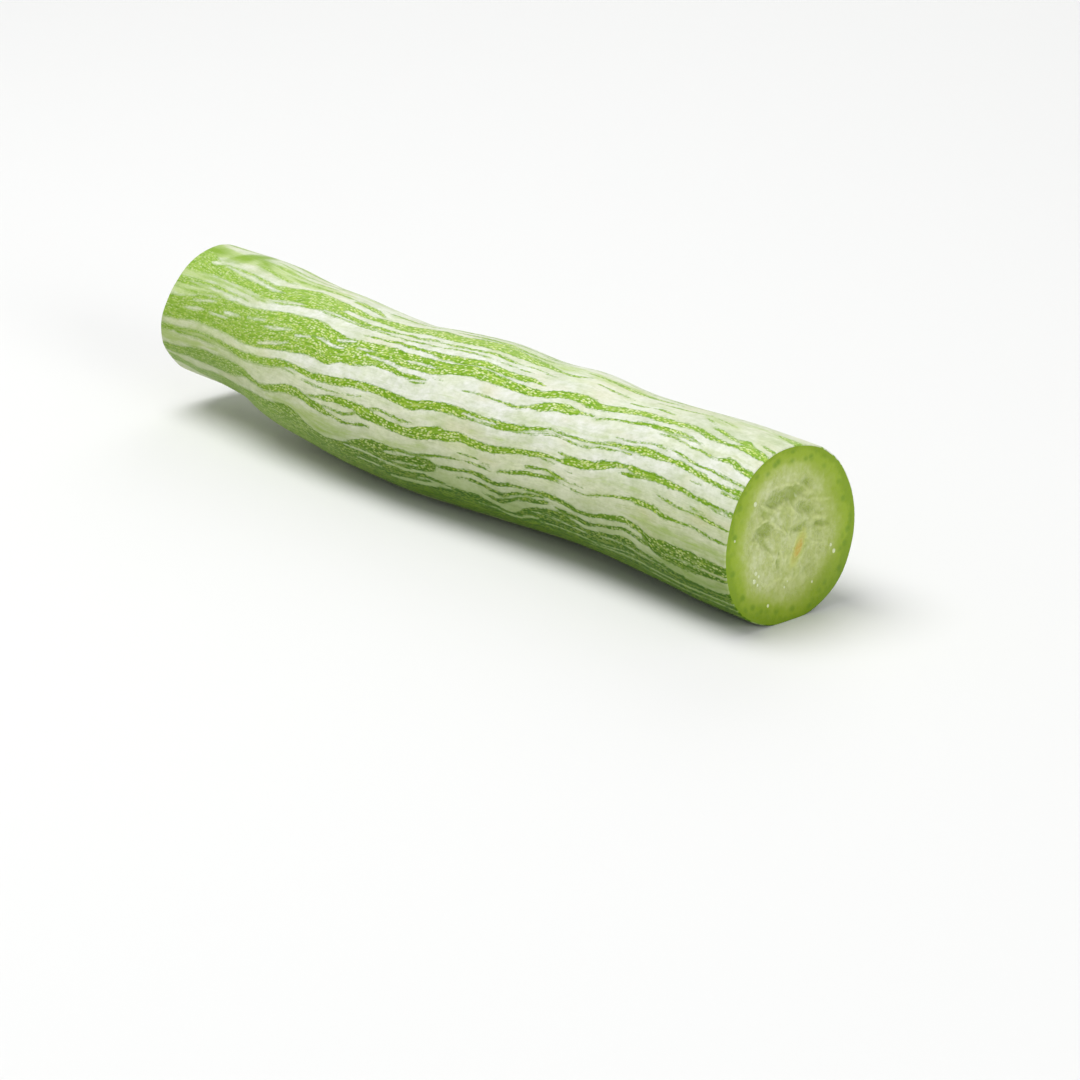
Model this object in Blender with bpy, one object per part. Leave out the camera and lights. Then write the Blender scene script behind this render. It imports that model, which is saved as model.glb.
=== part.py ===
"""A length of snake gourd, cut square at both ends and lying on its side.

The gourd runs along X, with its wider, near end at +X. It bends and swells along its length, and it
rests on two small flats: one under its belly and one under the near end. Seeds cut through by the knife
show in both cut faces, each in its own pocket in the flesh.
"""

import math

import bmesh
import bpy
import numpy as np
from mathutils import Vector, noise

MM = 0.001

# Driving dimensions
LENGTH = 262 * MM
EDGE_ROUND = 0.5 * MM
REST_DEPTH = 0.30 * MM
ORIGIN_SHIFT = (0.89 * MM, 0.10 * MM)

# Share of the length from the far end, then in mm: radius, drift to the side and height of the middle
BODY = (
    (0.000, 20.9, 1.5, 30.1),
    (0.085, 21.4, 1.4, 30.2),
    (0.130, 22.0, 0.8, 29.5),
    (0.175, 23.1, -0.3, 27.7),
    (0.260, 24.0, -1.2, 26.2),
    (0.345, 24.5, -1.8, 24.9),
    (0.395, 24.7, -1.8, 24.5),
    (0.445, 25.5, -1.2, 24.9),
    (0.510, 25.7, -0.1, 25.9),
    (0.590, 25.1, 0.3, 25.8),
    (0.670, 25.0, 1.2, 26.7),
    (0.750, 24.3, 1.1, 26.2),
    (0.820, 25.1, 1.1, 26.2),
    (0.900, 26.3, 0.8, 26.2),
    (1.000, 26.5, 0.2, 26.0),
)

# The far cut leans out at its foot, and the lean dies away along the skin
FAR_LEAN = math.radians(5)
LEAN_REACH = 45 * MM

# Lobes round the girth: how many, share of the radius, and where the first one points
LOBES = ((2, 0.014, math.radians(66)), (3, 0.012, math.radians(62)), (4, 0.012, math.radians(7)))
LOBE_TWIST = math.radians(35)

# Soft bumps in the skin: height, and their size along and round the gourd
BUMPS = ((0.50 * MM, 34 * MM, 20 * MM), (0.22 * MM, 15 * MM, 8 * MM))

# The soft middle of a cut face: how far it sinks, and where it starts and ends as shares of the radius
PULP_SINK = 0.30 * MM
PULP_EDGE = (0.80, 0.55)
GRAIN = 0.20 * MM
GRAIN_SIZE = 3.4 * MM

# Hollows in the pulp, in mm from the face's middle: sideways, up, half length, half width, turn, depth
NEAR_HOLLOWS = (
    (-7.2, 11.2, 4.2, 2.4, 22, 0.9),
    (1.6, 12.6, 4.6, 1.9, 10, 1.2),
    (6.4, 15.0, 2.4, 1.0, -28, 0.6),
    (-9.8, 3.8, 3.4, 2.0, 20, 0.9),
    (-2.6, 3.0, 1.3, 0.9, 40, 0.4),
    (12.9, 0.6, 2.6, 0.8, -8, 0.7),
    (6.2, 6.6, 3.2, 1.6, -30, 0.8),
    (4.2, 1.6, 2.4, 0.9, 12, 0.6),
    (-9.2, -1.4, 3.0, 0.8, -42, 0.8),
    (-4.2, -6.6, 2.6, 0.8, 84, 0.7),
    (-14.8, 7.6, 1.6, 1.0, 60, 0.4),
    (7.6, -11.6, 2.6, 1.0, 30, 0.4),
)
FAR_HOLLOWS = (
    (-6.6, 8.6, 2.9, 1.8, 42, 1.2),
    (1.4, 11.2, 3.0, 1.4, -12, 1.0),
    (8.8, 5.4, 2.6, 1.6, -58, 1.2),
    (-9.6, -1.6, 2.4, 1.2, 80, 0.8),
    (-3.4, -8.8, 3.2, 1.5, 18, 1.1),
    (5.8, -7.8, 2.2, 1.1, -36, 0.9),
    (0.6, 1.0, 1.8, 0.8, 30, 0.6),
)

# Seeds cut through: sideways and up from the face's middle, half length, half thickness, turn
NEAR_SEEDS = ((3.5, -4.6, 3.3, 1.15, 62),)
FAR_SEEDS = ((4.6, 3.0, 2.8, 1.0, -40), (-4.8, -2.6, 3.0, 1.05, 55))
SEED_DEPTH = 4.5 * MM
SEED_SINK = 1.2 * MM
POCKET_GAP = 0.3 * MM

# Fineness of the net
AROUND = 52
FACE_RINGS = 13
EDGE_RINGS = 2
BODY_RINGS = 36

# Colours as linear red, green and blue, then roughness
SKIN = ((0.50, 0.63, 0.34), 0.45)
FLESH = ((0.42, 0.52, 0.22), 0.40)
SEED = ((0.56, 0.42, 0.12), 0.45)


def clear_scene():
    for thing in list(bpy.data.objects):
        bpy.data.objects.remove(thing)


def plain_material(name, colour, roughness):
    material = bpy.data.materials.new(name)
    material.use_nodes = True
    shader = material.node_tree.nodes["Principled BSDF"]
    shader.inputs["Base Color"].default_value = (*colour, 1.0)
    shader.inputs["Roughness"].default_value = roughness
    shader.inputs["Metallic"].default_value = 0.0
    return material


def smooth_curve(places, values, at):
    """Values at the places asked for, on a smooth curve through the given ones."""
    slopes = np.gradient(values, places)
    before = np.clip(np.searchsorted(places, at) - 1, 0, len(places) - 2)
    gap = places[before + 1] - places[before]
    t = (at - places[before]) / gap
    rise = t * t * (3 - 2 * t)
    ends = values[before] * (1 - rise) + values[before + 1] * rise
    bends = t * (1 - t) * ((1 - t) * slopes[before] - t * slopes[before + 1])
    return ends + gap * bends


def body_at(along):
    """Radius, sideways drift and height of the middle at distances from the far end."""
    shares, radii, drifts, heights = np.array(BODY).T
    share = along / LENGTH
    curves = (smooth_curve(shares, values, share) * MM for values in (radii, drifts, heights))
    return tuple(curves)


def bumps_at(along, angle):
    """Soft noise that joins up with itself round the gourd."""
    total = np.zeros(len(along))
    for height, length, width in BUMPS:
        girth = 25 * MM / width
        for i, (place, turn) in enumerate(zip(along, angle)):
            spot = Vector((place / length, girth * math.cos(turn), girth * math.sin(turn)))
            total[i] += height * noise.noise(spot)
    return total


def skin_radius(along, angle):
    turn = angle - LOBE_TWIST * along / LENGTH
    lobes = sum(size * np.cos(count * (turn - first)) for count, size, first in LOBES)
    return body_at(along)[0] * (1 + lobes) + bumps_at(along, angle)


def fade(value, start, end):
    """0 at start, 1 at end, and a smooth step between them."""
    t = np.clip((value - start) / (end - start), 0, 1)
    return t * t * (3 - 2 * t)


def face_relief(side, up, share, hollows):
    """How far a cut face lies behind its own rim, in the flesh, the pulp and the pulp's hollows."""
    depth = PULP_SINK * fade(share, *PULP_EDGE)
    for x, y, half_length, half_width, turn, deep in hollows:
        c, s = math.cos(math.radians(turn)), math.sin(math.radians(turn))
        dx, dy = side - x * MM, up - y * MM
        far_out = np.hypot((c * dx + s * dy) / half_length, (c * dy - s * dx) / half_width) / MM
        depth = depth + deep * MM * fade(far_out, 1.9, 0.0)
    grain = np.array([noise.noise(Vector((y, z, 0.0)) / GRAIN_SIZE) for y, z in zip(side, up)])
    return depth + GRAIN * grain * fade(share, 0.95, 0.6)


def ring_places():
    """Each ring of the net, from the middle of the near face to that of the far one.

    A ring is its distance from the far end, its share of the radius, and what the rounded edge takes off it.
    """
    face = [(LENGTH, k / FACE_RINGS, EDGE_ROUND) for k in range(FACE_RINGS + 1)]
    quarter = math.pi / 2 / (EDGE_RINGS + 1)
    turns = [quarter * k for k in range(1, EDGE_RINGS + 1)]
    edge = [
        (LENGTH - EDGE_ROUND * (1 - math.cos(turn)), 1.0, EDGE_ROUND * (1 - math.sin(turn)))
        for turn in turns
    ]
    half = face + edge
    far_half = [(LENGTH - along, share, inset) for along, share, inset in reversed(half)]
    body = [(float(along), 1.0, 0.0) for along in np.linspace(LENGTH - EDGE_ROUND, EDGE_ROUND, BODY_RINGS)]
    return np.array(half + body + far_half)


def in_place(along, side, up):
    """Points of the gourd from their distance along it and their place across it, flat where it rests."""
    _, drift, height = body_at(along)
    lean = math.tan(FAR_LEAN) * up * fade(along, LEAN_REACH, 0.0)
    x = along - LENGTH / 2 + lean + ORIGIN_SHIFT[0]
    y = drift + side + ORIGIN_SHIFT[1]
    z = np.maximum(height + up - REST_DEPTH, 0.0)
    return np.stack([x, y, z], -1)


def gourd_points(rings, ring, angle):
    """The net's points, from the ring and the angle of each, with the relief of the cut faces."""
    along, share, inset = rings[ring].T
    radius = (skin_radius(along, angle) - inset) * share
    side, up = radius * np.cos(angle), radius * np.sin(angle)
    points = in_place(along, side, up)
    near = ring <= FACE_RINGS
    far = ring >= len(rings) - 1 - FACE_RINGS
    points[near, 0] -= face_relief(side[near], up[near], share[near], NEAR_HOLLOWS)
    points[far, 0] += face_relief(-side[far], up[far], share[far], FAR_HOLLOWS)
    return points


def make_gourd(collection):
    """A round net whose poles are the middles of the two cut faces."""
    rings = ring_places()
    last = len(rings) - 1
    net = bmesh.new()
    bmesh.ops.create_uvsphere(net, u_segments=AROUND, v_segments=last, radius=1.0)
    ball = np.array([vertex.co for vertex in net.verts])
    ring = np.rint(np.arccos(np.clip(ball[:, 2], -1, 1)) / math.pi * last).astype(int)
    angle = np.arctan2(ball[:, 1], ball[:, 0])
    for vertex, point in zip(net.verts, gourd_points(rings, ring, angle)):
        vertex.co = point
    for face in net.faces:
        numbers = [ring[vertex.index] for vertex in face.verts]
        face.material_index = int(max(numbers) <= FACE_RINGS or min(numbers) >= last - FACE_RINGS)
    mesh = bpy.data.meshes.new("gourd")
    net.to_mesh(mesh)
    net.free()
    mesh.materials.append(plain_material("skin", *SKIN))
    mesh.materials.append(plain_material("flesh", *FLESH))
    mesh.shade_smooth()
    mesh.set_sharp_from_angle(angle=math.radians(50))
    gourd = bpy.data.objects.new("gourd", mesh)
    collection.objects.link(gourd)
    return gourd


def lens_mesh(name, half_length, half_thickness, extra, cut_flush):
    """A flattened egg, its middle SEED_SINK behind the cut: X points out of the cut face."""
    net = bmesh.new()
    bmesh.ops.create_uvsphere(net, u_segments=20, v_segments=14, radius=1.0)
    size = Vector((half_length * MM + extra, half_thickness * MM + extra, SEED_DEPTH + extra))
    for vertex in net.verts:
        long, thick, deep = vertex.co * size
        out = deep - SEED_SINK
        vertex.co = (min(out, 0.0) if cut_flush else out, long, thick)
    mesh = bpy.data.meshes.new(name)
    net.to_mesh(mesh)
    net.free()
    mesh.shade_smooth()
    mesh.set_sharp_from_angle(angle=math.radians(50))
    return mesh


def place_in_face(thing, near, side, up, turn):
    """Sets a lens in the near or the far cut face, turned in the plane of the cut. Side is seen facing the cut."""
    outward = 1 if near else -1
    along = np.array([LENGTH if near else 0.0])
    x, y, z = in_place(along, outward * side * MM, up * MM)[0]
    thing.location = (x - outward * PULP_SINK, y, z)
    thing.rotation_euler = (math.radians(turn), 0.0 if near else -FAR_LEAN, 0.0 if near else math.pi)


def make_seeds(collection, cutters, gourd, near, seeds):
    end = "near" if near else "far"
    material = plain_material(f"seed_{end}", *SEED)
    for number, (side, up, half_length, half_thickness, turn) in enumerate(seeds, 1):
        name = f"seed_{end}_{number}"
        mesh = lens_mesh(name, half_length, half_thickness, 0.0, cut_flush=True)
        mesh.materials.append(material)
        seed = bpy.data.objects.new(name, mesh)
        collection.objects.link(seed)
        place_in_face(seed, near, side, up, turn)
        pocket_mesh = lens_mesh(f"{name}_pocket", half_length, half_thickness, POCKET_GAP, cut_flush=False)
        pocket = bpy.data.objects.new(f"{name}_pocket", pocket_mesh)
        cutters.objects.link(pocket)
        place_in_face(pocket, near, side, up, turn)
        pocket.hide_render = True
        pocket.display_type = "WIRE"
        cut = gourd.modifiers.new(pocket.name, "BOOLEAN")
        cut.operation = "DIFFERENCE"
        cut.solver = "EXACT"
        cut.object = pocket


def main():
    clear_scene()
    collection = bpy.data.collections.new("snake_gourd")
    cutters = bpy.data.collections.new("cutters")
    bpy.context.scene.collection.children.link(collection)
    bpy.context.scene.collection.children.link(cutters)
    gourd = make_gourd(collection)
    make_seeds(collection, cutters, gourd, True, NEAR_SEEDS)
    make_seeds(collection, cutters, gourd, False, FAR_SEEDS)


main()
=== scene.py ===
"""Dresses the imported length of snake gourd: fine skin and cut flesh, cut seeds, floor, light and camera.

Lengths are in metres. A place on the gourd is its distance from the far end and its angle round the
girth: 0 points along +Y, 90 up and 180 along -Y. The shape repeats the named values of the part's source.
"""

import math
import random
from typing import NamedTuple

import bmesh
import bpy
import numpy as np
from mathutils import Matrix, Vector, noise


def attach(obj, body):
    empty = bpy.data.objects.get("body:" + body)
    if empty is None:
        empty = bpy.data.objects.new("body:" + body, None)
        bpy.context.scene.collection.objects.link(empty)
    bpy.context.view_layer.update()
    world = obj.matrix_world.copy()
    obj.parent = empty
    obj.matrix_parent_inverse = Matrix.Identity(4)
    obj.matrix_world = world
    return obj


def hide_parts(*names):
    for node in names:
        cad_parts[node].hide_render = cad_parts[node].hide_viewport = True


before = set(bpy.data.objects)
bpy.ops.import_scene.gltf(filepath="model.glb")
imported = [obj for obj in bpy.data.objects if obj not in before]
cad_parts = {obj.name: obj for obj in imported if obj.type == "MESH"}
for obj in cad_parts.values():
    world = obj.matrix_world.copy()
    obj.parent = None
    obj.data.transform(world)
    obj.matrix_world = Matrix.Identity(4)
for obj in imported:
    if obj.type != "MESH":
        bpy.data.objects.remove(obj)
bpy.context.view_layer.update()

MM = 0.001

# Driving dimensions
LENGTH = 262 * MM
EDGE_ROUND = 0.5 * MM
REST_DEPTH = 0.30 * MM
ORIGIN_SHIFT = (0.89 * MM, 0.10 * MM)

# Share of the length from the far end, then in mm: radius, drift to the side and height of the middle
BODY = (
    (0.000, 20.9, 1.5, 30.1),
    (0.085, 21.4, 1.4, 30.2),
    (0.130, 22.0, 0.8, 29.5),
    (0.175, 23.1, -0.3, 27.7),
    (0.260, 24.0, -1.2, 26.2),
    (0.345, 24.5, -1.8, 24.9),
    (0.395, 24.7, -1.8, 24.5),
    (0.445, 25.5, -1.2, 24.9),
    (0.510, 25.7, -0.1, 25.9),
    (0.590, 25.1, 0.3, 25.8),
    (0.670, 25.0, 1.2, 26.7),
    (0.750, 24.3, 1.1, 26.2),
    (0.820, 25.1, 1.1, 26.2),
    (0.900, 26.3, 0.8, 26.2),
    (1.000, 26.5, 0.2, 26.0),
)

# The far cut leans out at its foot, and the lean dies away along the skin
FAR_LEAN = math.radians(5)
LEAN_REACH = 45 * MM

# Lobes round the girth: how many, share of the radius, and where the first one points
LOBES = ((2, 0.014, math.radians(66)), (3, 0.012, math.radians(62)), (4, 0.012, math.radians(7)))
LOBE_TWIST = math.radians(35)

# Soft bumps in the skin: height, and their size along and round the gourd
BUMPS = ((0.50 * MM, 34 * MM, 20 * MM), (0.22 * MM, 15 * MM, 8 * MM))

# The soft middle of a cut face: how far it sinks, and where it starts and ends as shares of the radius
PULP_SINK = 0.30 * MM
PULP_EDGE = (0.80, 0.55)
GRAIN = 0.20 * MM
GRAIN_SIZE = 3.4 * MM

# Hollows in the pulp, in mm from the face's middle: sideways, up, half length, half width, turn, depth
NEAR_HOLLOWS = (
    (-7.2, 11.2, 4.2, 2.4, 22, 0.9),
    (1.6, 12.6, 4.6, 1.9, 10, 1.2),
    (6.4, 15.0, 2.4, 1.0, -28, 0.6),
    (-9.8, 3.8, 3.4, 2.0, 20, 0.9),
    (-2.6, 3.0, 1.3, 0.9, 40, 0.4),
    (12.9, 0.6, 2.6, 0.8, -8, 0.7),
    (6.2, 6.6, 3.2, 1.6, -30, 0.8),
    (4.2, 1.6, 2.4, 0.9, 12, 0.6),
    (-9.2, -1.4, 3.0, 0.8, -42, 0.8),
    (-4.2, -6.6, 2.6, 0.8, 84, 0.7),
    (-14.8, 7.6, 1.6, 1.0, 60, 0.4),
    (7.6, -11.6, 2.6, 1.0, 30, 0.4),
)
FAR_HOLLOWS = (
    (-6.6, 8.6, 2.9, 1.8, 42, 1.2),
    (1.4, 11.2, 3.0, 1.4, -12, 1.0),
    (8.8, 5.4, 2.6, 1.6, -58, 1.2),
    (-9.6, -1.6, 2.4, 1.2, 80, 0.8),
    (-3.4, -8.8, 3.2, 1.5, 18, 1.1),
    (5.8, -7.8, 2.2, 1.1, -36, 0.9),
    (0.6, 1.0, 1.8, 0.8, 30, 0.6),
)

# Seeds cut through: sideways and up from the face's middle, half length, half thickness, turn
NEAR_SEEDS = ((3.5, -4.6, 3.3, 1.15, 62),)
FAR_SEEDS = ((4.6, 3.0, 2.8, 1.0, -40), (-4.8, -2.6, 3.0, 1.05, 55))
SEED_DEPTH = 4.5 * MM
SEED_SINK = 1.2 * MM

# Pale strands across the near cut's pulp: sideways and up from its middle, half width, all in mm
NEAR_STRANDS = (
    ((-0.2, 1.4, 0.3), (-0.3, -1.3, 0.7), (-0.9, -5.2, 0.7), (-1.6, -7.8, 0.3)),
    ((0.6, 9.2, 0.3), (1.5, 6.8, 0.6), (2.2, 5.2, 0.7), (1.3, 3.4, 0.3)),
    ((-2, 3.8, 0.3), (-2.4, 2.2, 0.6), (-1.5, 0.9, 0.3)),
    ((2.3, 15.4, 0.3), (5.4, 13.6, 0.6), (7.8, 11.2, 0.7), (12.2, 10.1, 0.3)),
    ((-9.1, 15.3, 0.3), (-5.3, 15.9, 0.6), (-1.5, 15.4, 0.6), (1.6, 14.2, 0.3)),
    ((-10.9, 11.2, 0.3), (-8.2, 9.5, 0.6), (-4.2, 9, 0.7), (-1.8, 10.4, 0.3)),
    ((-12.6, 5.4, 0.3), (-9.1, 6.2, 0.6), (-5.3, 4.1, 0.6), (-3.1, 2.2, 0.3)),
    ((-13.8, 1.2, 0.2), (-10.7, -0.9, 0.5), (-8.1, -3.4, 0.5), (-6.4, -5.2, 0.2)),
    ((3.2, 8.4, 0.3), (6.7, 4.6, 0.6), (10, 3.1, 0.6), (14.8, 2.2, 0.3)),
    ((8.4, 10.6, 0.3), (11.1, 8.4, 0.6), (15.6, 7.6, 0.3)),
    ((2.6, -11.4, 0.3), (3, -9.6, 0.9), (4.4, -8.2, 0.6), (6.2, -5.6, 0.3)),
    ((-5.1, -9.6, 0.2), (-5.6, -6.8, 0.5), (-4.6, -4.4, 0.2)),
    ((-2.8, -9, 0.2), (-2.5, -6.2, 0.5), (-3.6, -3.6, 0.2)),
    ((-9.6, -13.4, 0.3), (-5.3, -12.2, 0.6), (-0.9, -13.3, 0.6), (3.6, -12.6, 0.3)),
    ((6.8, -2.2, 0.3), (9.6, -4.6, 0.6), (13.4, -5.2, 0.3)),
)

# Beads of juice on the near cut: sideways and up from its middle, radius, all in mm
JUICE = (
    (-14.1, 12.9, 0.64),
    (-22.0, 3.8, 0.30),
    (16.4, -6.8, 0.46),
    (17.5, -8.9, 0.58),
    (-13.2, -8.2, 0.60),
    (-12.0, -9.4, 0.46),
    (-14.0, -10.4, 0.66),
    (-12.6, -11.8, 0.42),
    (-8.6, -19.0, 0.44),
    (9.0, -16.2, 0.34),
    (-1.8, -15.2, 0.34),
    (-0.8, -13.6, 0.28),
)

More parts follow.
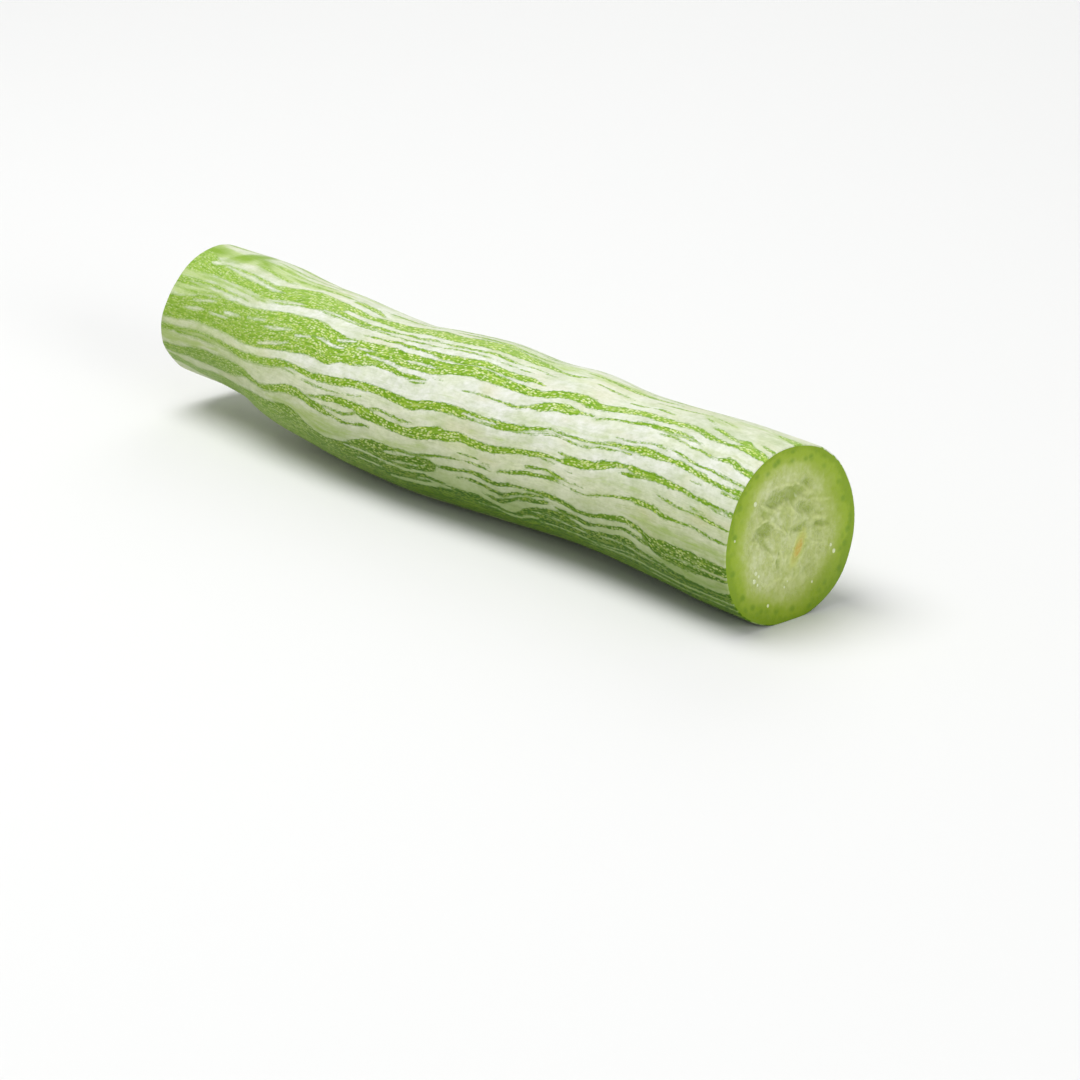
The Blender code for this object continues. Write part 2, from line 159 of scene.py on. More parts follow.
# Green courses on the side that the photograph shows: mm from the far end, angle, half width in degrees
COURSES = (
    # The broad band, from the far end over the top to the near end
    (
        (0, 154, 19.5), (10, 153.7, 17.5), (15, 153.4, 15.4), (20, 153.5, 14.6), (30, 153, 14.2),
        (38, 151, 14.2), (44, 147.6, 15.4), (50, 144.6, 16), (57, 140.4, 16.2), (65, 137.2, 15.6),
        (75, 134.3, 14), (85, 135.3, 12.3), (89, 133, 10.5), (97, 129.9, 10.1), (102, 127.6, 9.2),
        (107, 124.3, 6.5), (112, 125.2, 5.9), (120, 125.8, 5.8), (128, 126.3, 6), (134, 124.6, 4.8),
        (140, 121.5, 4.6), (146, 120.7, 4.8), (155, 121, 3.8), (160, 121.5, 3.4), (166, 122.8, 3.2),
        (170, 122.8, 3), (173, 120.8, 3.3), (177, 117.8, 3.2), (181, 116.1, 3.1), (185, 114.6, 3.9),
        (189, 114.6, 4.5), (193, 114.6, 3.3), (199, 111.2, 3.1), (205, 108.8, 2.7), (215, 108.1, 2.6),
        (226, 107.5, 2.6), (232, 107.9, 2.2), (237, 110, 1.9), (242, 111, 1.4), (248, 110.8, 1.1),
        (252, 109, 3.2), (256, 110, 3.4), (262, 112, 2.6),
    ),
    # The tongue over the broad band
    (
        (91, 116.8, 0.4), (97, 115.1, 0.9), (102, 113.8, 1.2), (106, 113, 1.4), (111, 114.3, 1.4),
        (118, 115, 1.1), (123, 115.6, 2), (130, 116.3, 3), (136, 115.6, 3.3), (143, 112.6, 3.2),
        (150, 112.8, 2.8), (160, 113, 2.8), (164, 113.2, 2.4), (167, 114.4, 1.1), (170, 115.5, 0.3),
    ),
    # The strip under its middle
    (
        (101, 133.2, 2.4), (107, 133.6, 2.6), (112, 135, 2), (117, 136.8, 1.6), (121, 136.6, 1.8),
        (125, 136.9, 1.1), (128, 136.7, 0.3),
    ),
    ((120, 140.2, 0.3), (123, 140.3, 0.8), (127, 139.3, 0.3)),
    ((128, 134.3, 0.3), (130, 134.6, 0.5), (133, 134.4, 0.2)),
    # Green over the far end
    (
        (0, 113, 13.6), (5, 113.6, 13), (8, 115.4, 11.2), (12, 117.4, 9), (18, 119, 6.4),
        (26, 120, 4.9), (34, 120, 4.7), (40, 119, 5.4), (45, 114.6, 8.6), (50, 112.5, 9.6),
        (55, 108.5, 10.4), (60, 105, 10.8), (65, 104, 10.2), (69, 103, 8.4), (73, 103, 5), (76, 103, 1),
    ),
    (
        (15, 110.6, 0.6), (24, 110.8, 1.3), (34, 110.8, 1.5), (42, 110.4, 1.6), (46, 109, 1.6),
        (50, 107, 1),
    ),
    (
        (10, 127.8, 0.3), (16, 127.8, 0.6), (26, 127.6, 0.7), (36, 127.7, 0.8), (44, 125.8, 0.7),
        (49, 122.2, 0.3),
    ),
    ((26, 98, 0.5), (31, 98.6, 2), (37, 99.4, 2), (43, 99.6, 1.8), (49, 98, 0.5)),
    ((0, 76, 2.6), (8, 76.5, 2.2), (15, 76, 1.2), (19, 75, 0.3)),
    ((27, 89.6, 0.5), (34, 89.4, 1.6), (44, 88.2, 1.4), (54, 85.4, 1.2), (62, 82, 0.5)),
    ((29, 83, 0.4), (37, 82.6, 1.2), (47, 80.6, 1.5), (56, 77.6, 1), (64, 74, 0.3)),
    ((41, 94, 0.4), (50, 92.4, 1.3), (60, 88.8, 1.4), (70, 86.4, 1.1), (80, 84.4, 0.3)),
    (
        (0, 135, 2.6), (6, 134.6, 2.4), (12, 133.8, 2.2), (20, 133.4, 1.9), (30, 133.4, 1.5),
        (38, 132.4, 0.5),
    ),
    ((11, 129, 0.3), (16, 128.8, 0.6), (22, 128.4, 0.5), (27, 128.2, 0.2)),
    # Along the top
    (
        (60, 98.5, 2.6), (70, 98, 3.2), (80, 98.8, 3.2), (87, 99.5, 2.2), (92, 98, 3), (96, 97, 4),
        (101, 96, 4.8), (106, 94.3, 5.3), (115, 93.5, 5.8), (125, 95.5, 4.8), (130, 94, 5.5),
        (140, 91.5, 6), (152, 90.5, 4.5), (158, 91.5, 4), (163, 93.5, 2.4), (168, 96, 1.5),
        (173, 97.2, 1.5), (176, 96, 1.3), (180, 91, 0.8),
    ),
    (
        (64, 107, 3.4), (72, 107, 2.3), (85, 107.4, 2.2), (92, 107.1, 1.8), (98, 105.5, 1.4),
        (103, 104.4, 1), (107, 103.5, 1.4), (112, 104.8, 1.2), (117, 103.2, 1.2), (122, 104.2, 0.9),
        (130, 104.5, 1.1), (137, 103.2, 1), (142, 100.8, 1.3), (150, 101.2, 1), (154, 100.4, 0.5),
        (160, 100, 0.4), (166, 103, 0.6), (171, 104.6, 0.3),
    ),
    (
        (55, 114, 1.1), (62, 112.3, 1.1), (72, 112.2, 0.8), (85, 111, 0.9), (100, 108.8, 0.6),
        (120, 109, 0.7), (130, 108, 0.6), (142, 106.3, 0.5), (150, 105.5, 0.4), (160, 106, 0.4),
        (168, 107.5, 0.4),
    ),
    ((73, 88.6, 1.2), (78, 88, 2.4), (83, 88.5, 2.8), (87, 90.5, 2.2), (90, 92.6, 0.6)),
    ((84, 83.6, 0.4), (92, 83, 1.5), (102, 82.2, 1.2), (112, 82.6, 0.4)),
    ((96, 76.8, 0.4), (108, 76, 1.4), (122, 77.6, 1.6), (134, 77, 0.9), (142, 76, 0.3)),
    (
        (118, 84.6, 0.4), (128, 85.2, 1.4), (140, 83.6, 1.8), (150, 82.8, 1.7), (158, 83.6, 0.9),
        (164, 84, 0.3),
    ),
    ((146, 75.6, 0.4), (156, 75, 1.5), (168, 74.2, 1.3), (178, 74, 0.4)),
    (
        (174, 86, 0.5), (183, 85.6, 1.9), (191, 84.8, 2.3), (199, 84, 1.9), (207, 82.6, 1),
        (213, 81, 0.3),
    ),
    ((204, 89.6, 0.3), (212, 89, 1), (221, 87.4, 0.8), (228, 86, 0.3)),
    ((196, 76, 0.4), (208, 74.4, 1.6), (222, 72.6, 1.4), (236, 71.6, 0.5)),
    ((183, 96.2, 0.5), (190, 96, 0.9), (196, 96, 0.9), (200, 97.4, 0.6)),
    (
        (200, 101.5, 0.3), (204, 100.8, 0.8), (208, 99.6, 0.5), (211, 98.8, 1.2), (214, 98.9, 1.3),
        (218, 99.6, 0.4),
    ),
    ((228, 91.6, 0.6), (231, 95, 1.1), (234, 97.6, 0.8), (236, 99, 0.3)),
    ((230, 87.6, 0.7), (235, 90.4, 0.7), (240, 94.2, 0.3)),
    ((253, 82.6, 0.8), (257, 83.6, 2.8), (262, 84.4, 3.6)),
    (
        (235, 101.6, 0.6), (238, 102.7, 1.7), (241, 103.8, 1.6), (244, 105.5, 1.3), (248, 106.2, 1.2),
        (251, 105.2, 2.8), (254, 107.8, 2.6),
    ),
    ((254, 100.4, 0.3), (257, 102, 0.9), (262, 104.8, 1.4)),
    # Thin mottled lines below the broad band, towards the near end
    (
        (142, 136.9, 0.3), (146, 135.6, 0.7), (156, 134.8, 0.8), (161, 135.3, 0.9), (165, 135.7, 1.2),
        (169, 134.2, 1), (171, 132.6, 1.8), (174, 131, 3.6), (178, 127.8, 3.6), (183, 126, 3.6),
        (186, 125.9, 3), (188, 124.5, 1.3), (191, 123.6, 0.9), (194, 122.4, 0.3),
    ),
    (
        (195, 124.4, 0.6), (198, 122, 0.9), (201, 120, 0.9), (205, 118.8, 0.9), (208, 118.3, 0.9),
        (211, 117, 1.5), (215, 116.2, 2), (220, 115.8, 2.3), (225, 115.4, 2), (229, 115.3, 1.3),
        (233, 116.1, 0.8), (240, 118.8, 0.3),
    ),
    (
        (218, 119.6, 0.4), (222, 120.6, 0.8), (226, 119.8, 0.9), (232, 121.2, 0.7), (236, 122.5, 0.6),
        (239, 121.9, 0.8), (247, 123.5, 0.7), (250, 122.1, 1.9), (253, 121.9, 1.9), (256, 124, 2),
        (262, 125.9, 2),
    ),
    ((222, 117.8, 0.4), (230, 117.6, 0.6), (237, 117.7, 0.3)),
    (
        (206, 132.3, 0.3), (210, 131.8, 0.6), (214, 131.3, 0.7), (220, 129.3, 0.7), (228, 128.7, 0.8),
        (234, 129.4, 0.8), (241, 131.6, 0.9), (247, 131.8, 1), (253, 133.2, 0.9), (262, 134.4, 0.9),
    ),
    # The long band down the middle
    (
        (0, 181.5, 3.4), (5, 180.8, 3), (11, 178.4, 1.6), (21, 175.4, 1.4), (31, 174.8, 1.8),
        (36, 174.6, 2.4), (40, 173.3, 3.2), (50, 169.6, 3.3), (60, 165, 3.8), (64, 162.8, 3.1),
        (69, 160.9, 2.2), (80, 160.2, 2.6), (85, 158.5, 3), (95, 154.5, 3.4), (100, 152.5, 3.1),
        (107, 151.7, 3.3), (115, 153, 3.2), (120, 154.7, 3.3), (125, 155.8, 3.6), (132, 153, 3.4),
        (142, 151.2, 3.3), (155, 150.5, 3), (167, 150.3, 3.1), (171, 149, 2.2), (175, 147, 1.9),
        (179, 144.5, 1.5), (183, 142.9, 1.1), (193, 141.8, 1), (198, 140.6, 0.9), (206, 137.2, 1.4),
        (212, 136.5, 1.8), (220, 135, 3), (225, 135, 3), (229, 135.2, 1.9), (236, 135.5, 1.9),
        (244, 137, 1.8), (248, 137.8, 1.9), (252, 138.8, 1.3), (262, 139.6, 1.8),
    ),
    (
        (166, 153.6, 0.4), (170, 152.5, 0.6), (175, 150.6, 0.7), (179, 148.2, 0.8), (182, 146.2, 0.8),
        (187, 145.4, 0.7), (192, 146, 0.9), (196, 145.4, 0.9), (203, 141.8, 0.9), (208, 140.6, 0.6),
        (216, 139.9, 0.3),
    ),
    ((242, 142.5, 0.3), (245, 142.4, 0.5), (248, 142.3, 0.2)),
    ((255, 142.5, 0.4), (258, 142.7, 0.9), (262, 142.8, 0.8)),
    (
        (8, 182, 2.2), (15, 181.2, 1.4), (22, 180, 1.3), (28, 178.9, 1.1), (34, 177.6, 1),
        (39, 175.8, 0.6),
    ),
    ((61, 166.2, 0.4), (68, 165.2, 0.6), (72, 165.8, 0.3)),
    (
        (75, 166.6, 0.4), (80, 166.3, 0.9), (88, 165, 0.8), (93, 163.7, 0.7), (100, 161.2, 0.7),
        (104, 159.4, 0.4),
    ),
    # The next band
    (
        (79, 174.6, 0.5), (83, 173.4, 1.2), (87, 171.2, 2), (91, 169.4, 2.6), (97, 168.3, 2.7),
        (101, 168.3, 3.2), (105, 169.5, 4.5), (109, 170.8, 4), (113, 172.2, 3), (121, 174, 2.9),
        (126, 175, 3.5), (130, 174, 4.8), (138, 170.4, 5), (142, 169.6, 4.2), (146, 167.6, 3.6),
        (155, 168.4, 3), (160, 168.3, 3.2), (165, 167.3, 2.6), (170, 165.5, 2.2), (175, 164, 2.1),
        (179, 162.6, 2.4), (183, 161, 1.5), (186, 160.8, 0.8), (189, 160.5, 1.6), (192, 158.4, 3.6),
        (197, 157.5, 3.7), (204, 154, 3.2), (208, 151, 2.9), (212, 149, 2), (216, 148.3, 1.5),
        (220, 148.7, 2.9), (230, 148.8, 2.7), (236, 149.5, 2.2), (246, 150.9, 1.3), (250, 151.3, 1.4),
        (255, 153.2, 2.1), (262, 153.6, 1.6),
    ),
    ((108, 165, 0.9), (113, 165.4, 1), (119, 167, 1.2), (124, 168, 1.1), (128, 168.3, 0.3)),
    ((180, 163.7, 0.3), (184, 164.2, 0.6), (188, 164.4, 0.3)),
    ((191, 165, 0.2), (194, 165.6, 0.4), (196, 165.7, 0.2)),
    ((186, 155.2, 0.4), (189, 156, 1.2), (192, 156.8, 1.5)),
    ((213, 153, 0.6), (217, 153, 1.6), (221, 152, 1.6), (226, 151.2, 1)),
    ((146, 178.5, 0.3), (151, 177.7, 0.7), (157, 178.3, 0.3)),
    ((87, 176.6, 0.4), (93, 176.7, 1), (98, 176, 0.8), (102, 172.6, 1)),
    (
        (231, 157.8, 0.4), (235, 159.6, 0.6), (240, 160.8, 0.8), (247, 161, 1), (254, 162.1, 1.4),
        (262, 163.2, 0.6),
    ),
    ((244, 158, 0.4), (248, 158.4, 0.8), (252, 158.8, 0.3)),
    # Lower bands, from the far end
    (
        (0, 201, 4.4), (6, 201, 4.6), (12, 199, 5.4), (17, 197.5, 7), (22, 196.5, 7.4), (27, 195, 7.4),
        (32, 193, 7.4), (37, 190.4, 7), (42, 186.6, 5.6), (46, 184.4, 3.6), (52, 186, 2.2),
        (58, 185.6, 2.8), (61, 184, 3.2), (65, 180.5, 3.5), (69, 178.5, 3.8), (76, 177.3, 3.2),
        (81, 179.5, 3), (86, 180, 3.4), (90, 181.2, 1.8), (96, 182, 1.2), (101, 181, 0.9),
        (105, 179, 1.2), (110, 178.6, 0.4),
    ),
    (
        (122, 188.2, 0.7), (130, 188.8, 0.9), (134, 187.5, 0.9), (138, 185.8, 0.9), (143, 184.4, 0.7),
        (149, 182.5, 0.3),
    ),
    ((149, 181.8, 0.3), (153, 182, 0.9), (157, 182.6, 1), (161, 184.1, 0.3)),
    ((157, 180.3, 0.3), (159, 180.2, 0.6), (162, 181.1, 0.3)),
    (
        (163, 184.3, 0.4), (165.5, 182, 1.4), (169, 181, 1.7), (172, 179.8, 1.6), (176, 178, 1.9),
        (180, 176.8, 1.8), (187, 174.5, 1.9), (190, 175.4, 0.8), (198, 177, 0.7), (201, 177, 0.9),
        (206, 174.3, 0.9), (212, 170.8, 0.8), (218, 168.5, 1.1), (221, 167.3, 1.7), (225, 167.8, 2.4),
        (232, 168.2, 2.1), (235, 170, 1.9), (238, 170.3, 1.6), (246, 169.4, 1), (250, 169.9, 0.9),
        (255, 171.8, 1.1), (262, 172, 0.7),
    ),
    (
        (175, 173.6, 0.5), (179, 172.3, 0.8), (182, 171.2, 0.9), (185, 170.8, 1.1), (188, 171.8, 1.3),
        (193, 172.6, 0.9), (201, 173, 0.3),
    ),
    # Lower bands, towards the near end
    (
        (137, 192.7, 0.7), (142, 192.2, 1.2), (146, 190.8, 1.4), (150, 189.2, 1.1), (155, 188.8, 1.7),
        (159, 190.6, 2.1), (163, 192, 1.6), (169, 190, 1.2), (178, 188.8, 1.1), (185, 188, 1.6),
        (190, 187.9, 1.9), (194, 189.2, 1.9), (198, 190.9, 1.7), (203, 190.5, 1.4), (209, 187, 1.8),
        (215, 184.4, 2), (219, 183.2, 2.2), (223, 184.6, 2), (226, 186.4, 2.2), (229, 190.8, 4.2),
        (233, 192.4, 5.8), (240, 193, 6.8), (248, 193.2, 7), (255, 193.2, 6.2), (262, 193, 5.4),
    ),
    (
        (145, 197.3, 0.5), (150, 195.3, 0.9), (154, 195, 1.2), (158, 196.3, 1.3), (162, 198.3, 1.8),
        (165, 199.4, 2.1), (168, 197.6, 1.6), (171, 195.2, 1.5), (179, 191.8, 1.3), (185, 189.8, 0.6),
    ),
    ((156, 202.4, 0.6), (160, 204.2, 1.6), (165, 204.6, 2.6), (169, 201.6, 1.6), (172, 199, 1)),
    (
        (170, 199.5, 0.9), (173, 198, 1.6), (177, 196.6, 1.9), (181, 195.5, 1.8), (184, 194, 1.5),
        (187, 192.7, 0.5),
    ),
    (
        (188, 194.4, 0.7), (192, 195.8, 1.7), (197, 196.6, 2), (201, 197.6, 1.9), (207, 195.2, 1.6),
        (213, 192.6, 1.3), (219, 190.2, 1.2), (222, 191, 1.3), (228, 193.6, 1.4), (231, 194.3, 0.6),
    ),
    (
        (98, 196.4, 0.8), (103, 194, 2.8), (108, 192.6, 5), (117, 193, 6), (127, 194.5, 6.2),
        (132, 194.8, 5.8), (136, 194.5, 4.4), (138, 194.5, 2),
    ),
    # The broad green of the underside
    (
        (0, 213, 6), (8, 216, 5), (15, 223, 8), (24, 221, 11), (34, 219, 12.5), (38, 218, 14),
        (42, 217, 16.5), (46, 215.5, 18.5), (55, 214.5, 19), (62, 213.5, 20), (69, 212, 22),
        (73, 213, 21.5), (78, 215.5, 18.5), (86, 218, 17), (94, 216.5, 18), (99, 215, 19),
        (108, 215.4, 19), (124, 216.4, 19), (130, 217.4, 18), (134, 219.4, 16.8), (140, 220.5, 16),
        (146, 221, 15), (155, 221, 15), (162, 224, 12.8), (168, 225, 12), (171, 223, 14),
        (174, 221, 16), (178, 219, 17.6), (186, 217, 19.6), (190, 216.8, 19.8), (199, 219.4, 17.2),
        (205, 218.6, 17.6), (211, 217.4, 18.8), (217, 215.8, 20), (221, 216, 20), (225, 218, 18),
        (232, 219, 17), (240, 220.4, 16), (248, 222, 14.6), (256, 222.4, 13.8), (262, 221, 15),
    ),
)

# Pale streaks across green ground
PALE_STREAKS = (
    (
        (97, 129.8, 0.2), (102, 129.4, 0.7), (107, 129.8, 0.7), (112, 131.6, 0.8), (118, 133.6, 0.9),
        (127, 134.3, 1),
    ),
    ((115, 126, 0.2), (120, 125.8, 0.8), (124, 126.2, 0.8), (128, 126.8, 0.2)),
    ((50, 142.8, 0.3), (53, 141.3, 0.9), (57, 139.3, 0.9), (60, 137, 0.7), (63, 135.3, 0.3)),
    ((65, 139, 0.3), (67, 137.8, 0.7), (70, 136, 0.6), (72, 134.8, 0.2)),
    ((50, 156.4, 0.2), (54, 153.5, 0.8), (58, 150.8, 0.9), (61, 148.2, 0.9), (64, 145.6, 0.3)),
    ((83, 128.6, 0.3), (86, 127.3, 0.8), (89, 125.3, 0.6), (91, 124, 0.2)),
    ((41, 143.6, 0.2), (45, 141, 0.5), (48, 138.6, 0.5), (50, 137.4, 0.2)),
    ((0, 148, 3.6), (4, 148, 3.2), (8, 147.8, 2), (12, 147, 0.5)),
    ((0, 142, 0.8), (6, 142, 1.4), (12, 140.6, 1.5), (17, 139.2, 1.2), (20, 138.4, 0.5)),
    (
        (14, 137.4, 0.3), (18, 137.2, 0.8), (24, 137.1, 1.1), (30, 136.9, 1.1), (35, 136, 1),
        (39, 133.6, 0.8),
    ),
    ((12, 144.6, 0.2), (15, 143.8, 0.5), (19, 142.6, 0.4), (22, 141.8, 0.2)),
    ((9, 159.8, 0.3), (12, 158.7, 1), (16, 157.3, 1), (19, 156, 0.3)),
    ((12, 150.9, 0.3), (16, 149.6, 0.8), (20, 147, 0.7), (23, 145.6, 0.3)),
    ((29, 150.6, 0.3), (33, 149.4, 0.9), (37, 147.2, 0.4)),
    ((22, 157, 0.2), (27, 156, 0.6), (32, 154, 0.3)),
    ((74, 132.4, 0.3), (79, 132.8, 0.8), (84, 133.6, 0.8), (88, 132.4, 0.3)),
    ((92, 128.6, 0.2), (96, 126.8, 0.6), (101, 125.6, 0.3)),
    ((40, 113.6, 0.4), (43, 113, 1.1), (46, 112, 0.8), (49, 110.6, 0.3)),
    (
        (9, 125.9, 0.3), (16, 125.8, 0.7), (30, 125.7, 0.8), (42, 124.6, 0.7), (52, 118, 0.6),
        (60, 113.4, 0.5),
    ),
    ((9, 111.8, 0.6), (11.5, 111.4, 2.4), (14, 110.6, 0.8)),
    ((146, 150.9, 0.3), (150, 150.8, 0.7), (156, 150.8, 0.7), (161, 150.6, 0.2)),
    ((90, 174.6, 0.5), (94, 173.5, 0.9), (98, 172.9, 1.1), (101, 171.2, 0.3)),
    ((110, 168.2, 0.6), (115, 168.3, 0.9), (120, 169.8, 0.9), (125, 170.6, 0.9), (130, 169.8, 0.4)),
    ((177, 175.6, 0.2), (180, 174.8, 0.6), (184, 173.4, 0.6), (186, 172.9, 0.2)),
    ((116, 192.6, 0.3), (120, 191.6, 0.9), (125, 190.8, 0.7), (129, 190.6, 0.3)),
    ((118, 198.4, 0.3), (124, 197.4, 0.8), (130, 196.4, 0.5), (134, 195.4, 0.2)),
    ((22, 177.8, 0.5), (27, 177.6, 1), (33, 177.6, 0.9), (37, 176.6, 0.3)),
    ((232, 153.6, 0.3), (240, 151.9, 0.5), (247, 152.9, 0.3)),
    ((251, 153.1, 0.2), (254, 153.2, 0.4), (258, 153.7, 0.4), (260, 153.8, 0.2)),
    ((236, 194.6, 0.3), (243, 195, 0.5), (251, 194.8, 0.5), (262, 195.2, 0.4)),
    ((129, 214, 0.4), (134, 209.6, 1.4), (139, 207, 1), (143, 206, 0.3)),
    ((96, 200, 0.3), (103, 199.4, 0.7), (109, 199.6, 0.6), (114, 200.6, 0.3)),
    ((112, 201.2, 0.3), (117, 201.6, 1), (123, 202.2, 1.2), (129, 201.6, 0.8), (133, 200.2, 0.3)),
    ((115, 213, 0.4), (121, 212.6, 1.4), (129, 212, 1.6), (135, 210.6, 1.2), (140, 209, 0.4)),
    ((100, 207.6, 0.3), (107, 207, 0.6), (113, 207.4, 0.3)),
    ((128, 206.8, 0.3), (133, 206.4, 0.8), (139, 207.4, 0.9), (145, 209, 0.3)),
    (
        (152, 213.6, 0.3), (159, 214, 0.8), (166, 217.6, 1.2), (170, 216.6, 1.1), (174, 212.6, 0.8),
        (180, 210.4, 0.3),
    ),
    ((176, 206.4, 0.2), (182, 204.8, 0.5), (189, 204.6, 0.6), (196, 206.2, 0.6), (202, 206.8, 0.2)),
    (
        (178, 214.6, 0.2), (186, 212, 0.6), (194, 212, 0.6), (204, 212.6, 0.7), (214, 208.6, 0.6),
        (222, 207, 0.2),
    ),
    (
        (198, 217.6, 0.2), (208, 214, 0.7), (218, 211.6, 0.8), (230, 213.4, 0.8), (244, 214.8, 0.7),
        (262, 215.6, 0.7),
    ),
    ((206, 203.6, 0.2), (213, 202, 0.5), (221, 202.4, 0.6), (229, 205.2, 0.5), (236, 207, 0.2)),
    ((222, 217.8, 0.2), (232, 219.6, 0.7), (246, 220.6, 0.7), (262, 221, 0.7)),
)

# Patches of a thin green veil over the pale ground
VEILS = (
    # Over the far end
    (
        (0, 94, 12), (8, 96, 11), (13, 97, 8.5), (20, 96, 8), (30, 95, 8), (40, 92, 9), (48, 93, 7),
        (56, 89, 7), (64, 85, 4.5), (70, 82, 1),
    ),
    ((0, 126, 9), (8, 127, 7), (16, 127.5, 4), (30, 127, 3), (42, 125, 2.6), (50, 121, 0.6)),
    ((0, 144, 8), (8, 144, 7), (16, 141, 5), (24, 139, 2.5), (30, 137.6, 0.6)),
    ((4, 180, 1), (12, 179, 3), (20, 178, 3), (30, 176.6, 2.6), (40, 174, 1)),
    ((0, 188, 5), (8, 189, 5), (18, 187, 3.5), (28, 184, 2.5), (38, 181, 0.6)),
    # Along the top
    ((72, 89, 0.6), (80, 88, 2.2), (88, 86, 1.6), (94, 85, 0.4)),
    ((56, 74, 1), (66, 72, 3.4), (80, 70, 3.6), (92, 68, 3), (102, 67, 0.6)),
    (
        (132, 85, 2), (142, 84, 7), (152, 84, 8), (160, 87, 8), (168, 88, 7.5), (176, 88, 6),
        (184, 84, 6), (194, 82, 6.5), (204, 82, 4), (210, 80, 0.6),
    ),
    ((222, 85, 0.6), (228, 89, 5), (234, 92, 5), (240, 93, 3), (244, 93, 0.6)),
    ((236, 84, 0.6), (244, 84, 2.5), (252, 84, 4), (262, 84, 6)),
    # Down the side
    ((58, 190, 1), (66, 192, 6), (76, 193, 8), (90, 193, 6.5), (100, 190, 3), (108, 188, 0.6)),
    ((104, 186, 0.5), (116, 185, 2.5), (130, 184, 2), (140, 181, 0.5)),
    ((150, 160, 0.3), (160, 160.5, 1.1), (172, 157.5, 1.1), (182, 154, 0.3)),
    ((196, 168, 0.3), (206, 164, 1.3), (218, 160, 1.2), (228, 160.5, 0.3)),
    ((172, 144, 0.3), (182, 140, 1), (196, 136.6, 1), (206, 133, 0.3)),
    ((212, 180, 0.4), (224, 178, 2.6), (236, 180, 4.6), (250, 181, 4), (262, 181, 4)),
    ((226, 200, 0.6), (236, 201, 2.8), (248, 204, 3.4), (262, 203, 2.6)),
)

# Smears of soft deeper green
SMEARS = (
    (
        (12.5, 104, 0.8), (14.5, 99.5, 6), (17, 94, 11), (19.5, 90.5, 13.5), (21.5, 87, 12),
        (24, 83, 8), (26, 79, 3),
    ),
    ((22, 86, 1), (25, 89.5, 5), (28, 92.5, 6), (31, 95.5, 5), (34, 98.5, 1)),
    ((0, 96, 8.5), (5, 97, 8), (9, 98, 5), (11.5, 98, 1)),
)

# The stripes' common drift round the gourd: mm from the far end, and degrees
FLOW = ((0, 28), (50, 17), (100, 0), (125, 3), (150, 0), (190, -9), (222, -15), (262, -11))

# The side that the photograph doesn't show: its arc in degrees, and the gaps in a row of stripes in mm
HIDDEN_ARC = (238, 434)
HIDDEN_BREAKS = (5, 34)

# A row's first stripe starts at most this share of the shortest one before the far end, or this many mm
# after it, and none starts in the last few mm
HIDDEN_EARLY = 0.6
HIDDEN_LATE = 20
HIDDEN_STOP = 7

# How often, then least and most: half width in degrees, length in mm, and gap to the next in degrees
HIDDEN_STRIPES = (
    (0.22, (2.6, 5.4), (120, 262), (2.4, 6.4)),
    (0.36, (1.2, 2.4), (60, 190), (2.0, 6.4)),
    (0.42, (0.5, 1.0), (24, 110), (1.6, 5.0)),
)
HIDDEN_PATCHES = ((1.0, (1.6, 6.0), (22, 85), (3.0, 9.0)),)
HIDDEN_STRIPE_SEED = 11
HIDDEN_PATCH_SEED = 5

# How one stripe differs from its row: share of its half width, and degrees aside
HIDDEN_SPREAD = (0.7, 1.2)
HIDDEN_ASIDE = 1.0

# Waves that its stripes share, then the one of their own: degrees, mm for a radian, and shift
HIDDEN_WAVES = ((1.7, 19.0, 0.4), (0.8, 7.3, 1.9))
HIDDEN_OWN_WAVE = (0.5, 11)

# How a stripe swells: share of its width, mm for a radian, and times its own phase
HIDDEN_SWELLS = ((0.38, 21, 2), (0.24, 8.3, 3))

# How it ends in a point: over what share of its length, and how bluntly
HIDDEN_POINT = 0.4
HIDDEN_BLUNTNESS = 0.7

# Points of a stripe: mm from one to the next, the fewest that are drawn, and the fewest that are kept
HIDDEN_STEP = 4
HIDDEN_DRAWN = 5
HIDDEN_KEPT = 4

# The stripe field is kept to this many mm either side of a stripe's edge
FIELD_REACH = 4.0
MM_A_DEGREE = 0.436

# What keeps the grain of one course unlike that of the next
LANE_SHIFT = 13.7

# Wrinkles and finer grain in the pulp, where they lie, and how far a hollow's outline strays
HOLLOW_REACH = 1.9
WRINKLE = 0.36 * MM
WRINKLE_SIZE = (5.6 * MM, 2.0 * MM)
WRINKLE_TURN = math.radians(-28)
WRINKLE_RIM = (19 * MM, 12 * MM)
WRINKLE_FOOT = (-14 * MM, 2 * MM)
WRINKLE_SEED = 23.0
STRAY = 0.9 * MM
STRAY_SIZE = 2.6 * MM
STRAY_SEEDS = (11.0, 17.0)
PULP_RIM = (0.95, 0.6)
FINE_GRAIN = 0.035 * MM
FINE_GRAIN_SIZE = 1.0 * MM
FINE_GRAIN_SEED = 5.0

# Strands: height, how far they stray, soft sides in half widths, points to a stop, and size on the far cut
STRAND_RISE = 0.12 * MM
STRAND_STRAY = 0.6 * STRAY
STRAND_SEEDS = (31.0, 37.0)
STRAND_SIDES = (1.7, 0.1)
STRAND_FINENESS = 16
FAR_STRAND_SIZE = 0.8

# How proud a seed stands, and how far its seat and its tint spread in shares of its own size
SEED_PROUD = 0.04 * MM
SEAT_REACH = 0.9
HALO_REACH = 1.3

# The round girth on which the skin's noise lies
SKIN_GIRTH = 25 * MM

# The bake map: margin round the skin's sheet, its height, and each cut face's place and scale
MAP_MARGIN = 0.01
MAP_LENGTH = 0.98
MAP_GIRTH = 0.60
MAP_NEAR_FACE = (0.22, 0.81)
MAP_FAR_FACE = (0.62, 0.81)
MAP_FACE_SCALE = 6.4

